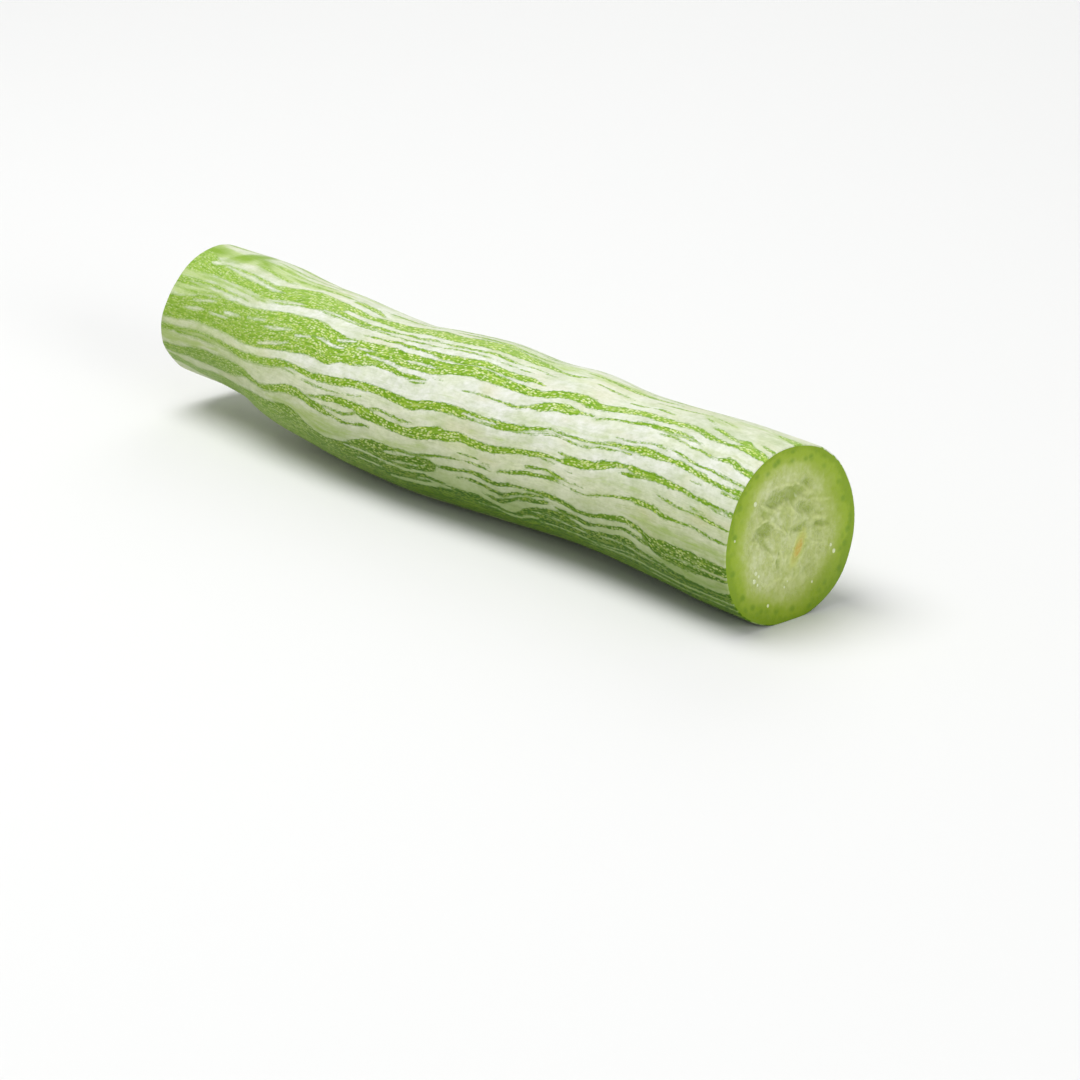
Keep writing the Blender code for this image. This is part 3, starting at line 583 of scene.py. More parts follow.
# A cut seed's crown and grain, and how tall and how high a bead of juice is for its width
SEED_SWELL = 1.25
SEED_CROWN = 0.12 * MM
SEED_GRAIN = 0.03 * MM
SEED_GRAIN_SIZE = 0.5 * MM
JUICE_SHAPE = (0.34, 1.0, 1.2)

# Fineness of the nets, and how evenly the rings of a cut face are spread
AROUND = 360
NEAR_RINGS = 62
FAR_RINGS = 36
EDGE_RINGS = 3
BODY_RINGS = 162
FACE_SPREAD = 0.95
SEED_FINENESS = (64, 40)
JUICE_FINENESS = (24, 14)


def srgb(red, green, blue):
    """A colour as seen on a screen, 0 to 255, as Blender's linear values."""
    steps = (value / 255 for value in (red, green, blue))
    return tuple(c / 12.92 if c <= 0.04045 else ((c + 0.055) / 1.055) ** 2.4 for c in steps) + (1.0,)


class Layer(NamedTuple):
    """Noise over the gourd, and how it shows.

    It lies by place, by drift with the stripes, or by course along the nearest one. Its size is in mm
    along and across, and up where that differs. A layer shows from start, is full at end, and counts
    for its share there.
    """

    laid: str
    size: tuple
    shift: float
    detail: float = 2.0
    swing: float = 1.0
    start: float = -0.8
    end: float = 0.8
    share: float = 1.0


# Skin colours
SKIN_PALE = srgb(234, 235, 228)
SKIN_GREY = srgb(202, 209, 184)
SKIN_VEIN = srgb(190, 203, 152)
SKIN_WARM = srgb(222, 217, 190)
SKIN_VEIL = srgb(184, 205, 130)
SKIN_SMEAR = srgb(135, 171, 52)
SKIN_GREEN = srgb(112, 158, 28)
SKIN_LEAF = srgb(142, 180, 56)
SKIN_DARK_GREEN = srgb(90, 136, 10)
SKIN_SOFT_GREEN = srgb(182, 207, 122)
# Paler green for the far end, and for the painted sheen on top
SKIN_FAR_AND_SHEEN_GREEN = srgb(162, 193, 98)
SKIN_FLECK = srgb(222, 230, 180)
SKIN_FLECK_YELLOW = srgb(198, 216, 112)

# Films that tint the skin: a random tinge and fine specks, then painted shade for the near end, down the
# side and on the low side
TINGE_FILM = srgb(244, 249, 227)
SPECK_FILM = srgb(240, 243, 234)
NEAR_SHADE_FILM = srgb(243, 246, 234)
SIDE_SHADE_FILM = srgb(234, 236, 214)
LOW_GROUND_SHADE_FILM = srgb(184, 202, 152)
LOW_GREEN_SHADE_FILM = srgb(126, 154, 8)
LOW_FLECK_SHADE_FILM = srgb(160, 182, 66)

# Flesh colours
FLESH_EDGE = srgb(124, 153, 12)
FLESH_RIND = srgb(142, 167, 36)
FLESH_INNER = srgb(160, 178, 74)
FLESH_PULP = srgb(181, 191, 121)
FLESH_LIGHT = srgb(203, 210, 162)
FLESH_WET = srgb(161, 176, 88)
# Darker green in the hollows and paler frost on the ridges: partly the pulp's own colour, partly painted
# shade and light
FLESH_HOLLOW_AND_SHADE = srgb(138, 156, 66)
FLESH_FROST_AND_LIGHT = srgb(216, 221, 184)
FLESH_STRAND = srgb(207, 215, 152)
FLESH_HALO = srgb(196, 204, 112)
FLESH_DOT = srgb(98, 136, 6)
# Painted shade: films for the cut's lower part and its right side
LOW_FLESH_SHADE_FILM = srgb(232, 234, 206)
SIDE_FLESH_SHADE_FILM = srgb(240, 243, 222)

# Seed colours
SEED_ORANGE = srgb(186, 162, 68)
SEED_YELLOW = srgb(190, 180, 90)
SEED_EDGE = srgb(184, 186, 100)

# Juice, as pale as the sheen on it makes it look
JUICE_PALE = srgb(205, 214, 166)

# The parts of a place on the gourd: distance from its far end, then sideways and up from its middle
ALONG = 0
SIDEWAYS = 1
UP = 2

# Zones: the part that counts, and in mm where the zone starts and where it is full
FAR_ZONE = (ALONG, 100, 20)
# Painted shade on the low side eases off towards the far end over this zone
SHADE_END_ZONE = (ALONG, 130, 40)
# Painted shade over the near end
NEAR_SHADE_ZONE = (ALONG, 190, 240)
TOP_ZONE = (UP, 22.0, 24.9)
# Painted shade: the low side of the skin, and lower still a deeper one for the green
LOW_SHADE_ZONE = (UP, 4, -17)
DEEP_SHADE_ZONE = (UP, 9, -13)
# Painted shade at the near end also reaches below this height
NEAR_SIDE_SHADE_ZONE = (UP, 19, 13)
# Painted shade down the side, for the ground and then for the green
GROUND_SHADE_ZONE = (UP, 15, 3)
GREEN_SHADE_ZONE = (UP, 21, 8)
RIND_SIDE_ZONE = (SIDEWAYS, 2, 20)
# Painted light: the rind's colours shift outwards at the top of the cut
RIND_TOP_LIGHT_ZONE = (UP, 6, 22)
# Painted shade over the lower part of the cut face
LOW_FLESH_SHADE_ZONE = (UP, -2, -20)
# Painted shade over the right side of the cut face
SIDE_FLESH_SHADE_ZONE = (SIDEWAYS, -4, 16)

# What a zone makes of another value: times the first number, plus the second
# How much of the low side's painted shade is left at the far end
SHADE_END_EASE = (-0.75, 1.0)
FAR_SOFTNESS = (1.6, 1.0)
TOP_WARMTH = (-0.5, 0.1)
FAR_SOFT_GREEN = (0.7, 0.2)
FAR_EDGING = (-0.30, 0.42)
FAR_LINES = (-0.5, 0.7)

# A course's ragged edge, and the mm from its line between which green comes in
RAGS = (
    Layer("course", (9.0, 0.70), 2.3, detail=1.0, swing=0.22),
    Layer("place", (4.0, 1.6), 9.0, detail=1.0, swing=0.20),
    Layer("course", (1.1, 0.60), 6.1, detail=1.0, swing=0.24),
)
GREEN_EDGE = (-0.24, 0.32)

# Layers of the pale ground
MOTTLE = Layer("drift", (2.6, 1.4), 8.1, detail=4.0, start=-0.7, end=1.0, share=0.55)
CLOUD = Layer("drift", (9, 5), 11.0, detail=3.0, start=-0.5, end=0.9, share=0.55)
VEIN = Layer("course", (14.0, 0.7), 15.3, start=0.25, end=1.0, share=0.42)
PATCH = Layer("drift", (9, 4), 24.0, start=0.35, end=1.1, share=0.40)
WARMTH = Layer("place", (20, 9), 18.0, end=1.1, share=0.5)
SMEARING = Layer("drift", (6, 2.4), 39.0, detail=3.0, swing=1.6, start=-3.2, end=4.0, share=0.92)
TINGE = Layer("drift", (11, 5), 74.0, detail=3.0, start=-0.5, end=0.9, share=0.75)
SPECK = Layer("drift", (1.2, 0.8), 77.0, detail=3.0, start=-0.7, end=0.8, share=0.55)

# The thin green veil: its edge, its least share everywhere, and the grain that breaks it up
VEILING = Layer("drift", (7, 2.2), 36.0, detail=3.0, swing=1.3, start=-0.8, end=1.8)
VEIL_GRAIN = Layer("course", (9.0, 0.8), 33.0, detail=3.0)
VEIL_AT_FAR_END = 0.24
VEIL_ON_TOP = 0.16
VEIL_SPARED = 0.5
VEIL_GRAINED = 0.75
VEIL_PLAIN = 0.22

# Layers of the green
TONE = Layer("course", (4.0, 1.4), 21.0, detail=3.0)
DARK_STREAK = Layer("course", (5.0, 0.60), 29.0, start=0.0, end=0.9, share=0.80)
LIGHT_STREAK = Layer("course", (2.6, 0.9), 47.0, detail=4.0, start=-0.2, end=1.0)
FAR_GREEN_AT_END = 0.30
# How far the green is paled on top: painted sheen
SHEEN_GREEN_ON_TOP = 0.40
EDGING = (0.75, 0.15)

# Flecks: cell size in mm, how far they fill a cell, which cells have one, and how deep in the green
FLECK_SIZE = (1.30, 0.54)
FLECK_FILL = (0.60, 0.26)
FLECK_CHANCE = (0.02, 0.18)
FLECK_DEPTH = (-0.05, 0.35)
FLECK_TONE = (0.15, 0.75)
FLECK_CROWD = Layer("course", (5.0, 1.3), 44.0, start=1.2, end=-0.1)
FLECK_SHARE = 0.95
FLECK_FAR_LOSS = -0.45
# Fewer flecks on the low side, as part of its painted shade
FLECK_SHADE_LOSS = -0.25

# Pale lines and threads within the green, and how deep in it they lie
PALE_LINE = Layer("course", (12.0, 0.55), 27.0, start=0.20, end=0.75)
PALE_LINE_DEPTH = (0.6, 1.4)
PALE_THREAD = Layer("course", (12.0, 0.62), 51.0, detail=1.5, start=0.05, end=0.5, share=0.65)
PALE_THREAD_DEPTH = (0.1, 1.2)

# Depth below the rind: how it wanders, and what the cut's right side and top change in it; the change at
# the top paints the top of the cut lighter, as light from above would
RIND_WANDER = (Layer("place", (8, 8), 30.0, swing=1.2), Layer("place", (2.0, 2.0), 33.0, swing=0.8))
RIND_SIDE_LOSS = -0.9

# Colours of the flesh inwards from its edge, each with the depths in mm between which it comes in
FLESH_BANDS = ((FLESH_RIND, (0.6, 2.8)), (FLESH_INNER, (2.8, 7.0)), (FLESH_PULP, (5.2, 11.5)))
PULP_DEPTH = (4.8, 11.0)

# Dots in the rind: cell size in mm, how far they fill a cell, which cells have one, and their ring
DOT_SIZE = (3.1, 3.1)
DOT_SHIFT = 40.0
DOT_FILL = (0.52, 0.10)
DOT_CHANCE = (0.15, 0.75)
DOT_OUTER = (0.5, 1.6)
DOT_INNER = (5.4, 3.6)
DOT_SHARE = 0.8

# Layers of the pulp
PULP_CLOUD = Layer("place", (4.4, 3.8, 6.0), 50.0, detail=2.5, start=-0.3, share=0.60)
PULP_WET = Layer("place", (3.4, 3.8, 2.8), 55.0, detail=2.5, start=-0.1, share=0.65)
# Hollows darkened: partly their own colour, partly painted shade
HOLLOW_SHADING = Layer("place", (1.5, 1.5), 57.0, swing=0.30, start=0.0, end=1.1, share=0.78)
FIBRES = (
    Layer("place", (3, 2.2, 4.0), 58.0, detail=1.5, start=0.26, end=0.0),
    Layer("place", (2, 1.5, 2), 61.0, detail=1.5, start=0.16, end=0.0),
)
FIBRE_PATCH = Layer("place", (6, 6), 64.0, start=-0.7, end=0.4)
# Raised pulp and fibres paled: partly frosty pulp, partly painted light
RIDGE_LIGHT = (0.15, -0.40)
RIDGE_FIBRE = 0.5
RIDGE_LIGHT_SHARE = 0.42
STRAND_BREAK = Layer("place", (2.2, 2.2), 68.0, start=-0.9, end=0.5, share=0.62)
HALO = (0.0, 0.6)
HALO_SHARE = 0.6
SEED_RIM = (0.45, 1.0)
SEED_RIM_SHARE = 0.9
# Depths in from the rim where the painted shade on the cut's right side comes in
SIDE_FLESH_SHADE_RIM = (3.0, 7.0)

# Where the skin gives way to the cut face
CUT_EDGE = (0.35, 0.65)

# Roughness: its grain, then its level, and what green takes off it
SKIN_GLOSS = Layer("place", (2.5, 1.2), 60.0, detail=3.0, swing=0.05)
SKIN_ROUGHNESS = 0.44
GREEN_GLOSS = -0.05
FLESH_GLOSS = Layer("place", (1.2, 1.2), 65.0, detail=3.0, swing=0.12)
FLESH_ROUGHNESS = 0.32

# Finest relief: its height, and the shares in it of grain, green, pores and fibres
SKIN_BUMP = 0.10 * MM
SKIN_RELIEF = Layer("place", (6.0, 0.9), 70.0, detail=3.0, swing=0.5)
GREEN_RELIEF = 0.06
PORES = Layer("place", (2.4, 2.2, 3.0), 75.0, detail=1.5)
PORES_RIM = (3.0, 8.0)
PORES_LEAST = 0.20
FIBRE_RELIEF = 0.8

# Finishes that are the same all over
CUT_WETNESS = 0.45
GOURD_FINISH = {
    "Coat Roughness": 0.2,
    "Specular IOR Level": 0.08,
    "IOR": 1.42,
    "Sheen Weight": 0.01,
    "Sheen Roughness": 0.45,
}
SEED_FINISH = {"Roughness": 0.35, "IOR": 1.42}
SEED_CLOUD_SCALE = 900.0
SEED_CLOUD = (0.35, 0.7)
SEED_EDGE_FROM = (0.60, 1.0)
SEED_BUMP = 0.05 * MM
JUICE_FINISH = {"Roughness": 0.06, "IOR": 1.45, "Coat Weight": 1.0, "Coat Roughness": 0.02}

# How rough all noise is, and the part of its range that is used
NOISE_ROUGHNESS = 0.55
NOISE_RANGE = (0.25, 0.75)

# Stage: floor and light
FLOOR_SIZE = 6.0
FLOOR_COLOUR = srgb(232, 232, 231)
FLOOR_ROUGHNESS = 0.75
WORLD_COLOUR = srgb(245, 246, 247)
WORLD_STRENGTH = 0.42

# Lights: name, place, target, size, power and colour
LIGHTS = (
    ("key", (-0.35, -0.35, 1.6), (0, 0, 0), 1.3, 22.6, (1.0, 1.0, 1.0)),
    ("fill", (1.8, -0.35, 0.65), (0.1, 0, 0.02), 0.9, 13.0, (0.99, 1.0, 1.0)),
    ("back", (-0.7, 1.1, 0.75), (0, 0, 0.03), 0.9, 3.0, (1.0, 1.0, 0.99)),
)

# Camera, fitted to the photograph
SENSOR = 36.0
LENS = 175.1
CAMERA_TURN = math.radians(47.92)
CAMERA_RISE = math.radians(20.48)
CAMERA_TARGET = (0.0265, 0.0, -0.0047)
CAMERA_DISTANCE = 1.569
CAMERA_CLIP = (0.05, 20.0)


def smooth_curve(places, values, at):
    """Values at the places asked for, on a smooth curve through the given ones."""
    slopes = np.gradient(values, places)
    before = np.clip(np.searchsorted(places, at) - 1, 0, len(places) - 2)
    gap = places[before + 1] - places[before]
    t = (at - places[before]) / gap
    rise = t * t * (3 - 2 * t)
    ends = values[before] * (1 - rise) + values[before + 1] * rise
    bends = t * (1 - t) * ((1 - t) * slopes[before] - t * slopes[before + 1])
    return ends + gap * bends


def body_at(along):
    """Radius, sideways drift and height of the middle at distances from the far end."""
    shares, radii, drifts, heights = np.array(BODY).T
    curves = (smooth_curve(shares, values, along / LENGTH) * MM for values in (radii, drifts, heights))
    return tuple(curves)


def bumps_at(along, angle):
    """Soft noise that joins up with itself round the gourd."""
    total = np.zeros(len(along))
    for height, length, width in BUMPS:
        girth = SKIN_GIRTH / width
        for i, (place, turn) in enumerate(zip(along, angle)):
            spot = Vector((place / length, girth * math.cos(turn), girth * math.sin(turn)))
            total[i] += height * noise.noise(spot)
    return total


def skin_radius(along, angle):
    """Distance from the middle to the skin, with lobes and bumps."""
    turn = angle - LOBE_TWIST * along / LENGTH
    lobes = sum(size * np.cos(count * (turn - first)) for count, size, first in LOBES)
    return body_at(along)[0] * (1 + lobes) + bumps_at(along, angle)


def fade(value, start, end):
    """0 at start, 1 at end, and a smooth step between them."""
    t = np.clip((value - start) / (end - start), 0, 1)
    return t * t * (3 - 2 * t)


def in_place(along, side, up):
    """Points of the gourd from their distance along it and their place across it, flat where it rests."""
    _, drift, height = body_at(along)
    lean = math.tan(FAR_LEAN) * up * fade(along, LEAN_REACH, 0.0)
    x = along - LENGTH / 2 + lean + ORIGIN_SHIFT[0]
    y = drift + side + ORIGIN_SHIFT[1]
    z = np.maximum(height + up - REST_DEPTH, 0.0)
    return np.stack([x, y, z], -1)


def ellipse_distance(side, up, middle, halves, turn):
    """Distance from the middle of a turned ellipse, in shares of its half length and half width."""
    c, s = math.cos(math.radians(turn)), math.sin(math.radians(turn))
    dx, dy = side - middle[0] * MM, up - middle[1] * MM
    return np.hypot((c * dx + s * dy) / halves[0], (c * dy - s * dx) / halves[1]) / MM


def noise_at(points, size, seed=0.0):
    """Smooth noise from -1 to 1 at each point, in lumps of about the given size."""
    offset = Vector((seed, seed, seed))
    return np.array([noise.noise(Vector(point) / size + offset) for point in points])


def on_face(side, up):
    """Places across a cut face as points in space."""
    return np.stack([side, up, np.zeros(len(side))], -1)


def strayed(side, up, amount, seeds):
    """Places across a cut face, shifted by soft noise so that what is drawn there strays."""
    spots = on_face(side, up)
    return [place + amount * noise_at(spots, STRAY_SIZE, seed) for place, seed in zip((side, up), seeds)]


def courses_field(along, angle, courses):
    """How deep each place lies inside the nearest of the courses, and its way across that one.

    Both are in mm round the girth; outside every course the first is below 0.
    """
    at = along / MM
    turn = np.degrees(angle) % 360
    field = np.full(len(along), -2 * FIELD_REACH)
    lane = np.zeros(len(along))
    for number, course in enumerate(courses):
        places, turns, halves = np.array(course, float).T
        reached = np.clip(at, places[0], places[-1])
        middle = smooth_curve(places, turns, reached)
        half = np.maximum(np.interp(reached, places, halves), 0)
        off = (turn - middle + 180) % 360 - 180
        inside = (half - np.abs(off)) * MM_A_DEGREE
        beyond = np.abs(at - reached)
        inside = np.where(beyond > 0, -np.hypot(np.minimum(inside, 0), beyond), inside)
        lane = np.where(inside > field, off * MM_A_DEGREE + number * LANE_SHIFT, lane)
        field = np.maximum(field, inside)
    return field, lane


def hidden_courses(seed, kinds):
    """Stripes or patches for the side that the photograph doesn't show, drawn from a fixed seed."""
    draw = random.Random(seed)
    drifts = [drift for _, drift in FLOW]
    whole = LENGTH / MM
    courses = []
    base = HIDDEN_ARC[0] - max(drifts)
    while base < HIDDEN_ARC[1] - min(drifts):
        _, halves, lengths, gaps = draw.choices(kinds, [kind[0] for kind in kinds])[0]
        row_half = draw.uniform(*halves)
        base += row_half
        phase = draw.uniform(0, 2 * math.pi)
        start = draw.uniform(-HIDDEN_EARLY * lengths[0], HIDDEN_LATE)
        while start < whole - HIDDEN_STOP:
            end = start + draw.uniform(*lengths)
            half = row_half * draw.uniform(*HIDDEN_SPREAD)
            aside = draw.uniform(-HIDDEN_ASIDE, HIDDEN_ASIDE)
            courses.append(hidden_course(max(start, 0), min(end, whole), base + aside, half, phase))
            start = end + draw.uniform(*HIDDEN_BREAKS)
        base += row_half + draw.uniform(*gaps)
    return [course for course in courses if len(course) >= HIDDEN_KEPT]


def hidden_course(start, end, base, half, phase):
    """One stripe or patch that swells and narrows, follows the common waves and ends in points."""
    flow_places, flow_turns = np.array(FLOW, float).T
    places = np.linspace(start, end, max(HIDDEN_DRAWN, int((end - start) / HIDDEN_STEP)))
    size, length = HIDDEN_OWN_WAVE
    turns = base + smooth_curve(flow_places, flow_turns, places) + size * np.sin(places / length + phase)
    for size, length, shift in HIDDEN_WAVES:
        turns += size * np.sin(places / length + shift)
    swells = (size * np.sin(places / length + times * phase) for size, length, times in HIDDEN_SWELLS)
    widths = half * (1 + sum(swells))
    reach = HIDDEN_POINT * (end - start)
    if start > 0:
        widths *= np.clip((places - start) / reach, 0, 1) ** HIDDEN_BLUNTNESS
    if end < LENGTH / MM:
        widths *= np.clip((end - places) / reach, 0, 1) ** HIDDEN_BLUNTNESS
    kept = (turns > HIDDEN_ARC[0]) & (turns < HIDDEN_ARC[1])
    return list(zip(places[kept], turns[kept], widths[kept]))


def net_rings():
    """Each ring of the fine net, from the middle of the near face to that of the far one.

    A ring is its distance from the far end, its share of the radius, and what the rounded edge takes off.
    """
    near = [(LENGTH, (k / NEAR_RINGS) ** FACE_SPREAD, EDGE_ROUND) for k in range(NEAR_RINGS + 1)]
    far = [(0.0, (k / FAR_RINGS) ** FACE_SPREAD, EDGE_ROUND) for k in range(FAR_RINGS, -1, -1)]
    turns = [math.pi / 2 * k / (EDGE_RINGS + 1) for k in range(1, EDGE_RINGS + 1)]
    edge = [(EDGE_ROUND * (1 - math.cos(turn)), 1.0, EDGE_ROUND * (1 - math.sin(turn))) for turn in turns]
    near_edge = [(LENGTH - along, share, inset) for along, share, inset in edge]
    stations = np.linspace(LENGTH - EDGE_ROUND, EDGE_ROUND, BODY_RINGS)
    body = [(float(along), 1.0, 0.0) for along in stations]
    return np.array(near + near_edge + body + list(reversed(edge)) + far)


def hollow_depth(side, up, hollows):
    """The hollows and wrinkles of the pulp, with outlines that stray from true ellipses."""
    side, up = strayed(side, up, STRAY, STRAY_SEEDS)
    total = np.zeros(len(side))
    for x, y, half_length, half_width, turn, deep in hollows:
        far_out = ellipse_distance(side, up, (x, y), (half_length, half_width), turn)
        total += deep * fade(far_out, HOLLOW_REACH, 0.0) * MM
    c, s = math.cos(WRINKLE_TURN), math.sin(WRINKLE_TURN)
    along, across = (c * side + s * up) / WRINKLE_SIZE[0], (c * up - s * side) / WRINKLE_SIZE[1]
    folds = 1 - 2 * np.abs(noise_at(on_face(along, across), 1.0, WRINKLE_SEED))
    return total + WRINKLE * folds * fade(np.hypot(side, up), *WRINKLE_RIM) * fade(up, *WRINKLE_FOOT)


def strand_share(side, up, size):
    """1 along the middle of the pulp's strands, and 0 beyond their sides."""
    side, up = (place / size for place in strayed(side, up, STRAND_STRAY, STRAND_SEEDS))
    total = np.zeros(len(side))
    for strand in NEAR_STRANDS:
        stops = np.arange(len(strand))
        path = np.linspace(0, len(strand) - 1, STRAND_FINENESS * len(strand))
        x, y, width = (smooth_curve(stops, values * MM, path) for values in np.array(strand, float).T)
        far_out = np.hypot(side[:, None] - x, up[:, None] - y) / width
        total = np.maximum(total, fade(far_out.min(1), *STRAND_SIDES))
    return total


def seed_nearness(side, up, seeds, reach):
    """1 on a seed, and down to 0 at its outline grown by the reach, in shares of its own size."""
    total = np.zeros(len(side))
    for x, y, half_length, half_thickness, turn in seeds:
        far_out = ellipse_distance(side, up, (x, y), (half_length, half_thickness), turn)
        total = np.maximum(total, fade(far_out, 1 + reach, 1.0))
    return total


def face_relief(side, up, share, hollows, seeds, strand):
    """How far a cut face lies behind its own rim: pulp, hollows, grain, and a seat round each seed."""
    points = on_face(side, up)
    soft = fade(share, *PULP_RIM)
    depth = PULP_SINK * fade(share, *PULP_EDGE) + hollow_depth(side, up, hollows)
    depth = depth + GRAIN * noise_at(points, GRAIN_SIZE) * soft
    depth = depth + FINE_GRAIN * noise_at(points, FINE_GRAIN_SIZE, FINE_GRAIN_SEED) * soft
    depth = depth - STRAND_RISE * strand
    seat = seed_nearness(side, up, seeds, SEAT_REACH)
    return depth * (1 - seat) + (PULP_SINK + SEED_PROUD) * seat


def skin_fields(along, angle):
    """What the material reads of the skin's stripes, streaks, veils and smears."""
    stripes = list(COURSES) + hidden_courses(HIDDEN_STRIPE_SEED, HIDDEN_STRIPES)
    patches = list(VEILS) + hidden_courses(HIDDEN_PATCH_SEED, HIDDEN_PATCHES)
    green, lane = courses_field(along, angle, stripes)
    pale, veil, smear = (courses_field(along, angle, kind)[0] for kind in (PALE_STREAKS, patches, SMEARS))
    fields = {"stripe": np.minimum(green, -pale), "veil": veil, "smear": smear}
    fields = {name: np.clip(values, -FIELD_REACH, FIELD_REACH) for name, values in fields.items()}
    drifted = angle - np.radians(smooth_curve(*np.array(FLOW, float).T, along / MM))
    drift = SKIN_GIRTH * np.stack([np.cos(drifted), np.sin(drifted)], -1)
    return {**fields, "lane": lane, "drift": np.column_stack([along, drift])}


def gourd_net():
    """The points of the fine net, what the material reads at each point, and the ring that it is on."""
    rings = net_rings()
    last = len(rings) - 1
    ring = np.concatenate([[0], np.repeat(np.arange(1, last), AROUND), [last]])
    step = np.concatenate([[0], np.tile(np.arange(AROUND), last - 1), [0]])
    angle = step * 2 * math.pi / AROUND
    along, share, inset = rings[ring].T
    full = skin_radius(along, angle)
    radius = (full - inset) * share
    side, up = radius * np.cos(angle), radius * np.sin(angle)
    points = in_place(along, side, up)
    strand, hollow, halo, cut = np.zeros((4, len(ring)))
    near = ring <= NEAR_RINGS
    far = ring >= last - FAR_RINGS
    strand[near] = strand_share(side[near], up[near], 1.0)
    strand[far] = strand_share(up[far], side[far], FAR_STRAND_SIZE)
    faces = ((near, 1, NEAR_HOLLOWS, NEAR_SEEDS), (far, -1, FAR_HOLLOWS, FAR_SEEDS))
    for face, outward, hollows, seeds in faces:
        aside = outward * side[face]
        points[face, 0] -= outward * face_relief(aside, up[face], share[face], hollows, seeds, strand[face])
        hollow[face] = hollow_depth(aside, up[face], hollows)
        halo[face] = seed_nearness(aside, up[face], seeds, HALO_REACH)
        cut[face] = 1.0
    girth = SKIN_GIRTH * np.stack([np.cos(angle), np.sin(angle)], -1)
    across = np.where(cut[:, None] > 0, np.stack([side, up], -1), girth)
    fields = {
        **skin_fields(along, angle),
        "rim": np.where(cut > 0, (full - inset) * (1 - share) / MM, 0.0),
        "hollow": np.clip(hollow / MM, -1.0, 1.0),
        "halo": halo,
        "strand": strand,
        "cut": cut,
        "place": np.column_stack([along, across]),
    }
    return points, fields, ring


def net_faces(last):
    """The faces of the net: a fan at each end, and four-sided ones between the rings."""

    def number(row, column):
        return 1 + (row - 1) * AROUND + column % AROUND

    column = np.arange(AROUND)
    caps = [(0, number(1, c), number(1, c + 1)) for c in column]
    foot = number(last, 0)
    caps += [(foot, number(last - 1, c + 1), number(last - 1, c)) for c in column]
    rows, columns = np.meshgrid(np.arange(1, last - 1), column, indexing="ij")
    corners = [(0, 0), (1, 0), (1, 1), (0, 1)]
    quads = np.stack([number(rows + i, columns + j).ravel() for i, j in corners], -1)
    return caps + quads.tolist()


def store_field(mesh, name, values):
    """Keeps a number or a place for each point of the mesh, under a name that the material reads."""
    kind, slot = ("FLOAT_VECTOR", "vector") if values.ndim == 2 else ("FLOAT", "value")
    field = mesh.attributes.new(name, kind, "POINT")
    field.data.foreach_set(slot, values.astype(np.float32).ravel())


def read_all(items, name, count, kind):
    """One value or more of every item, as one array."""
    values = np.zeros(count, kind)
    items.foreach_get(name, values)
    return values


def store_bake_map(mesh, ring, last):
    """A map for baking: the skin as one sheet, and each cut face as a disc."""
    corner_points = read_all(mesh.loops, "vertex_index", len(mesh.loops), int)
    starts = read_all(mesh.polygons, "loop_start", len(mesh.polygons), int)
    totals = read_all(mesh.polygons, "loop_total", len(mesh.polygons), int)
    polygon = np.repeat(np.arange(len(starts)), totals)
    place = read_all(mesh.attributes["place"].data, "vector", 3 * len(mesh.vertices), float)
    along, side, up = place.reshape(-1, 3)[corner_points].T
    rows = ring[corner_points]
    low = np.minimum.reduceat(rows, starts)[polygon]
    high = np.maximum.reduceat(rows, starts)[polygon]
    turn = np.arctan2(up, side) / (2 * math.pi) % 1.0
    most = np.maximum.reduceat(turn, starts)[polygon]
    turn = np.where((most > 0.75) & (turn < 0.25), turn + 1, turn)
    u = MAP_MARGIN + MAP_LENGTH * along / LENGTH
    v = MAP_MARGIN + MAP_GIRTH * turn
    for face, middle in ((high <= NEAR_RINGS, MAP_NEAR_FACE), (low >= last - FAR_RINGS, MAP_FAR_FACE)):
        u = np.where(face, middle[0] + side * MAP_FACE_SCALE, u)
        v = np.where(face, middle[1] + up * MAP_FACE_SCALE, v)
    bake_map = mesh.uv_layers.new(name="OFBake")
    bake_map.data.foreach_set("uv", np.stack([u, v], -1).ravel())


def mesh_of(net, name):
    """A mesh made from a net, which is then done with."""
    mesh = bpy.data.meshes.new(name)
    net.to_mesh(mesh)
    net.free()
    return mesh


def add_object(mesh, material):
    """The mesh as an object of the scene, smooth and in its material."""
    mesh.materials.append(material)
    mesh.shade_smooth()
    thing = bpy.data.objects.new(mesh.name, mesh)
    bpy.context.scene.collection.objects.link(thing)
    return thing


def make_gourd(material):
    """Skin and both cut faces, as one closed fine net."""
    points, fields, ring = gourd_net()
    last = int(ring[-1])
    mesh = bpy.data.meshes.new("gourd_skin_and_flesh")
    mesh.from_pydata(points.tolist(), [], net_faces(last))
    for name, values in fields.items():
        store_field(mesh, name, values)
    store_bake_map(mesh, ring, last)
    gourd = add_object(mesh, material)
    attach(gourd, "root")
    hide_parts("gourd")


def seed_mesh(name, half_length, half_thickness):
    """A flattened egg cut flush with the flesh and a little crowned: X points out of the cut face."""
    net = bmesh.new()
    bmesh.ops.create_uvsphere(net, u_segments=SEED_FINENESS[0], v_segments=SEED_FINENESS[1], radius=1.0)
    cut_share = math.sqrt(1 - (SEED_SINK / SEED_DEPTH) ** 2)
    edge = []
    for vertex in net.verts:
        far_out = math.hypot(vertex.co.x, vertex.co.y) / cut_share
        out = vertex.co.z * SEED_DEPTH - SEED_SINK
        long, thick = vertex.co.x * half_length * MM, vertex.co.y * half_thickness * SEED_SWELL * MM
        rough = SEED_GRAIN * noise.noise(Vector((long, thick, 0.0)) / SEED_GRAIN_SIZE)
        crown = SEED_CROWN * max(0.0, 1 - far_out**2) + rough
        vertex.co = (min(out, crown) if out > 0 else out, long, thick)
        edge.append(far_out)
    mesh = mesh_of(net, name)
    store_field(mesh, "edge", np.array(edge))
    return mesh


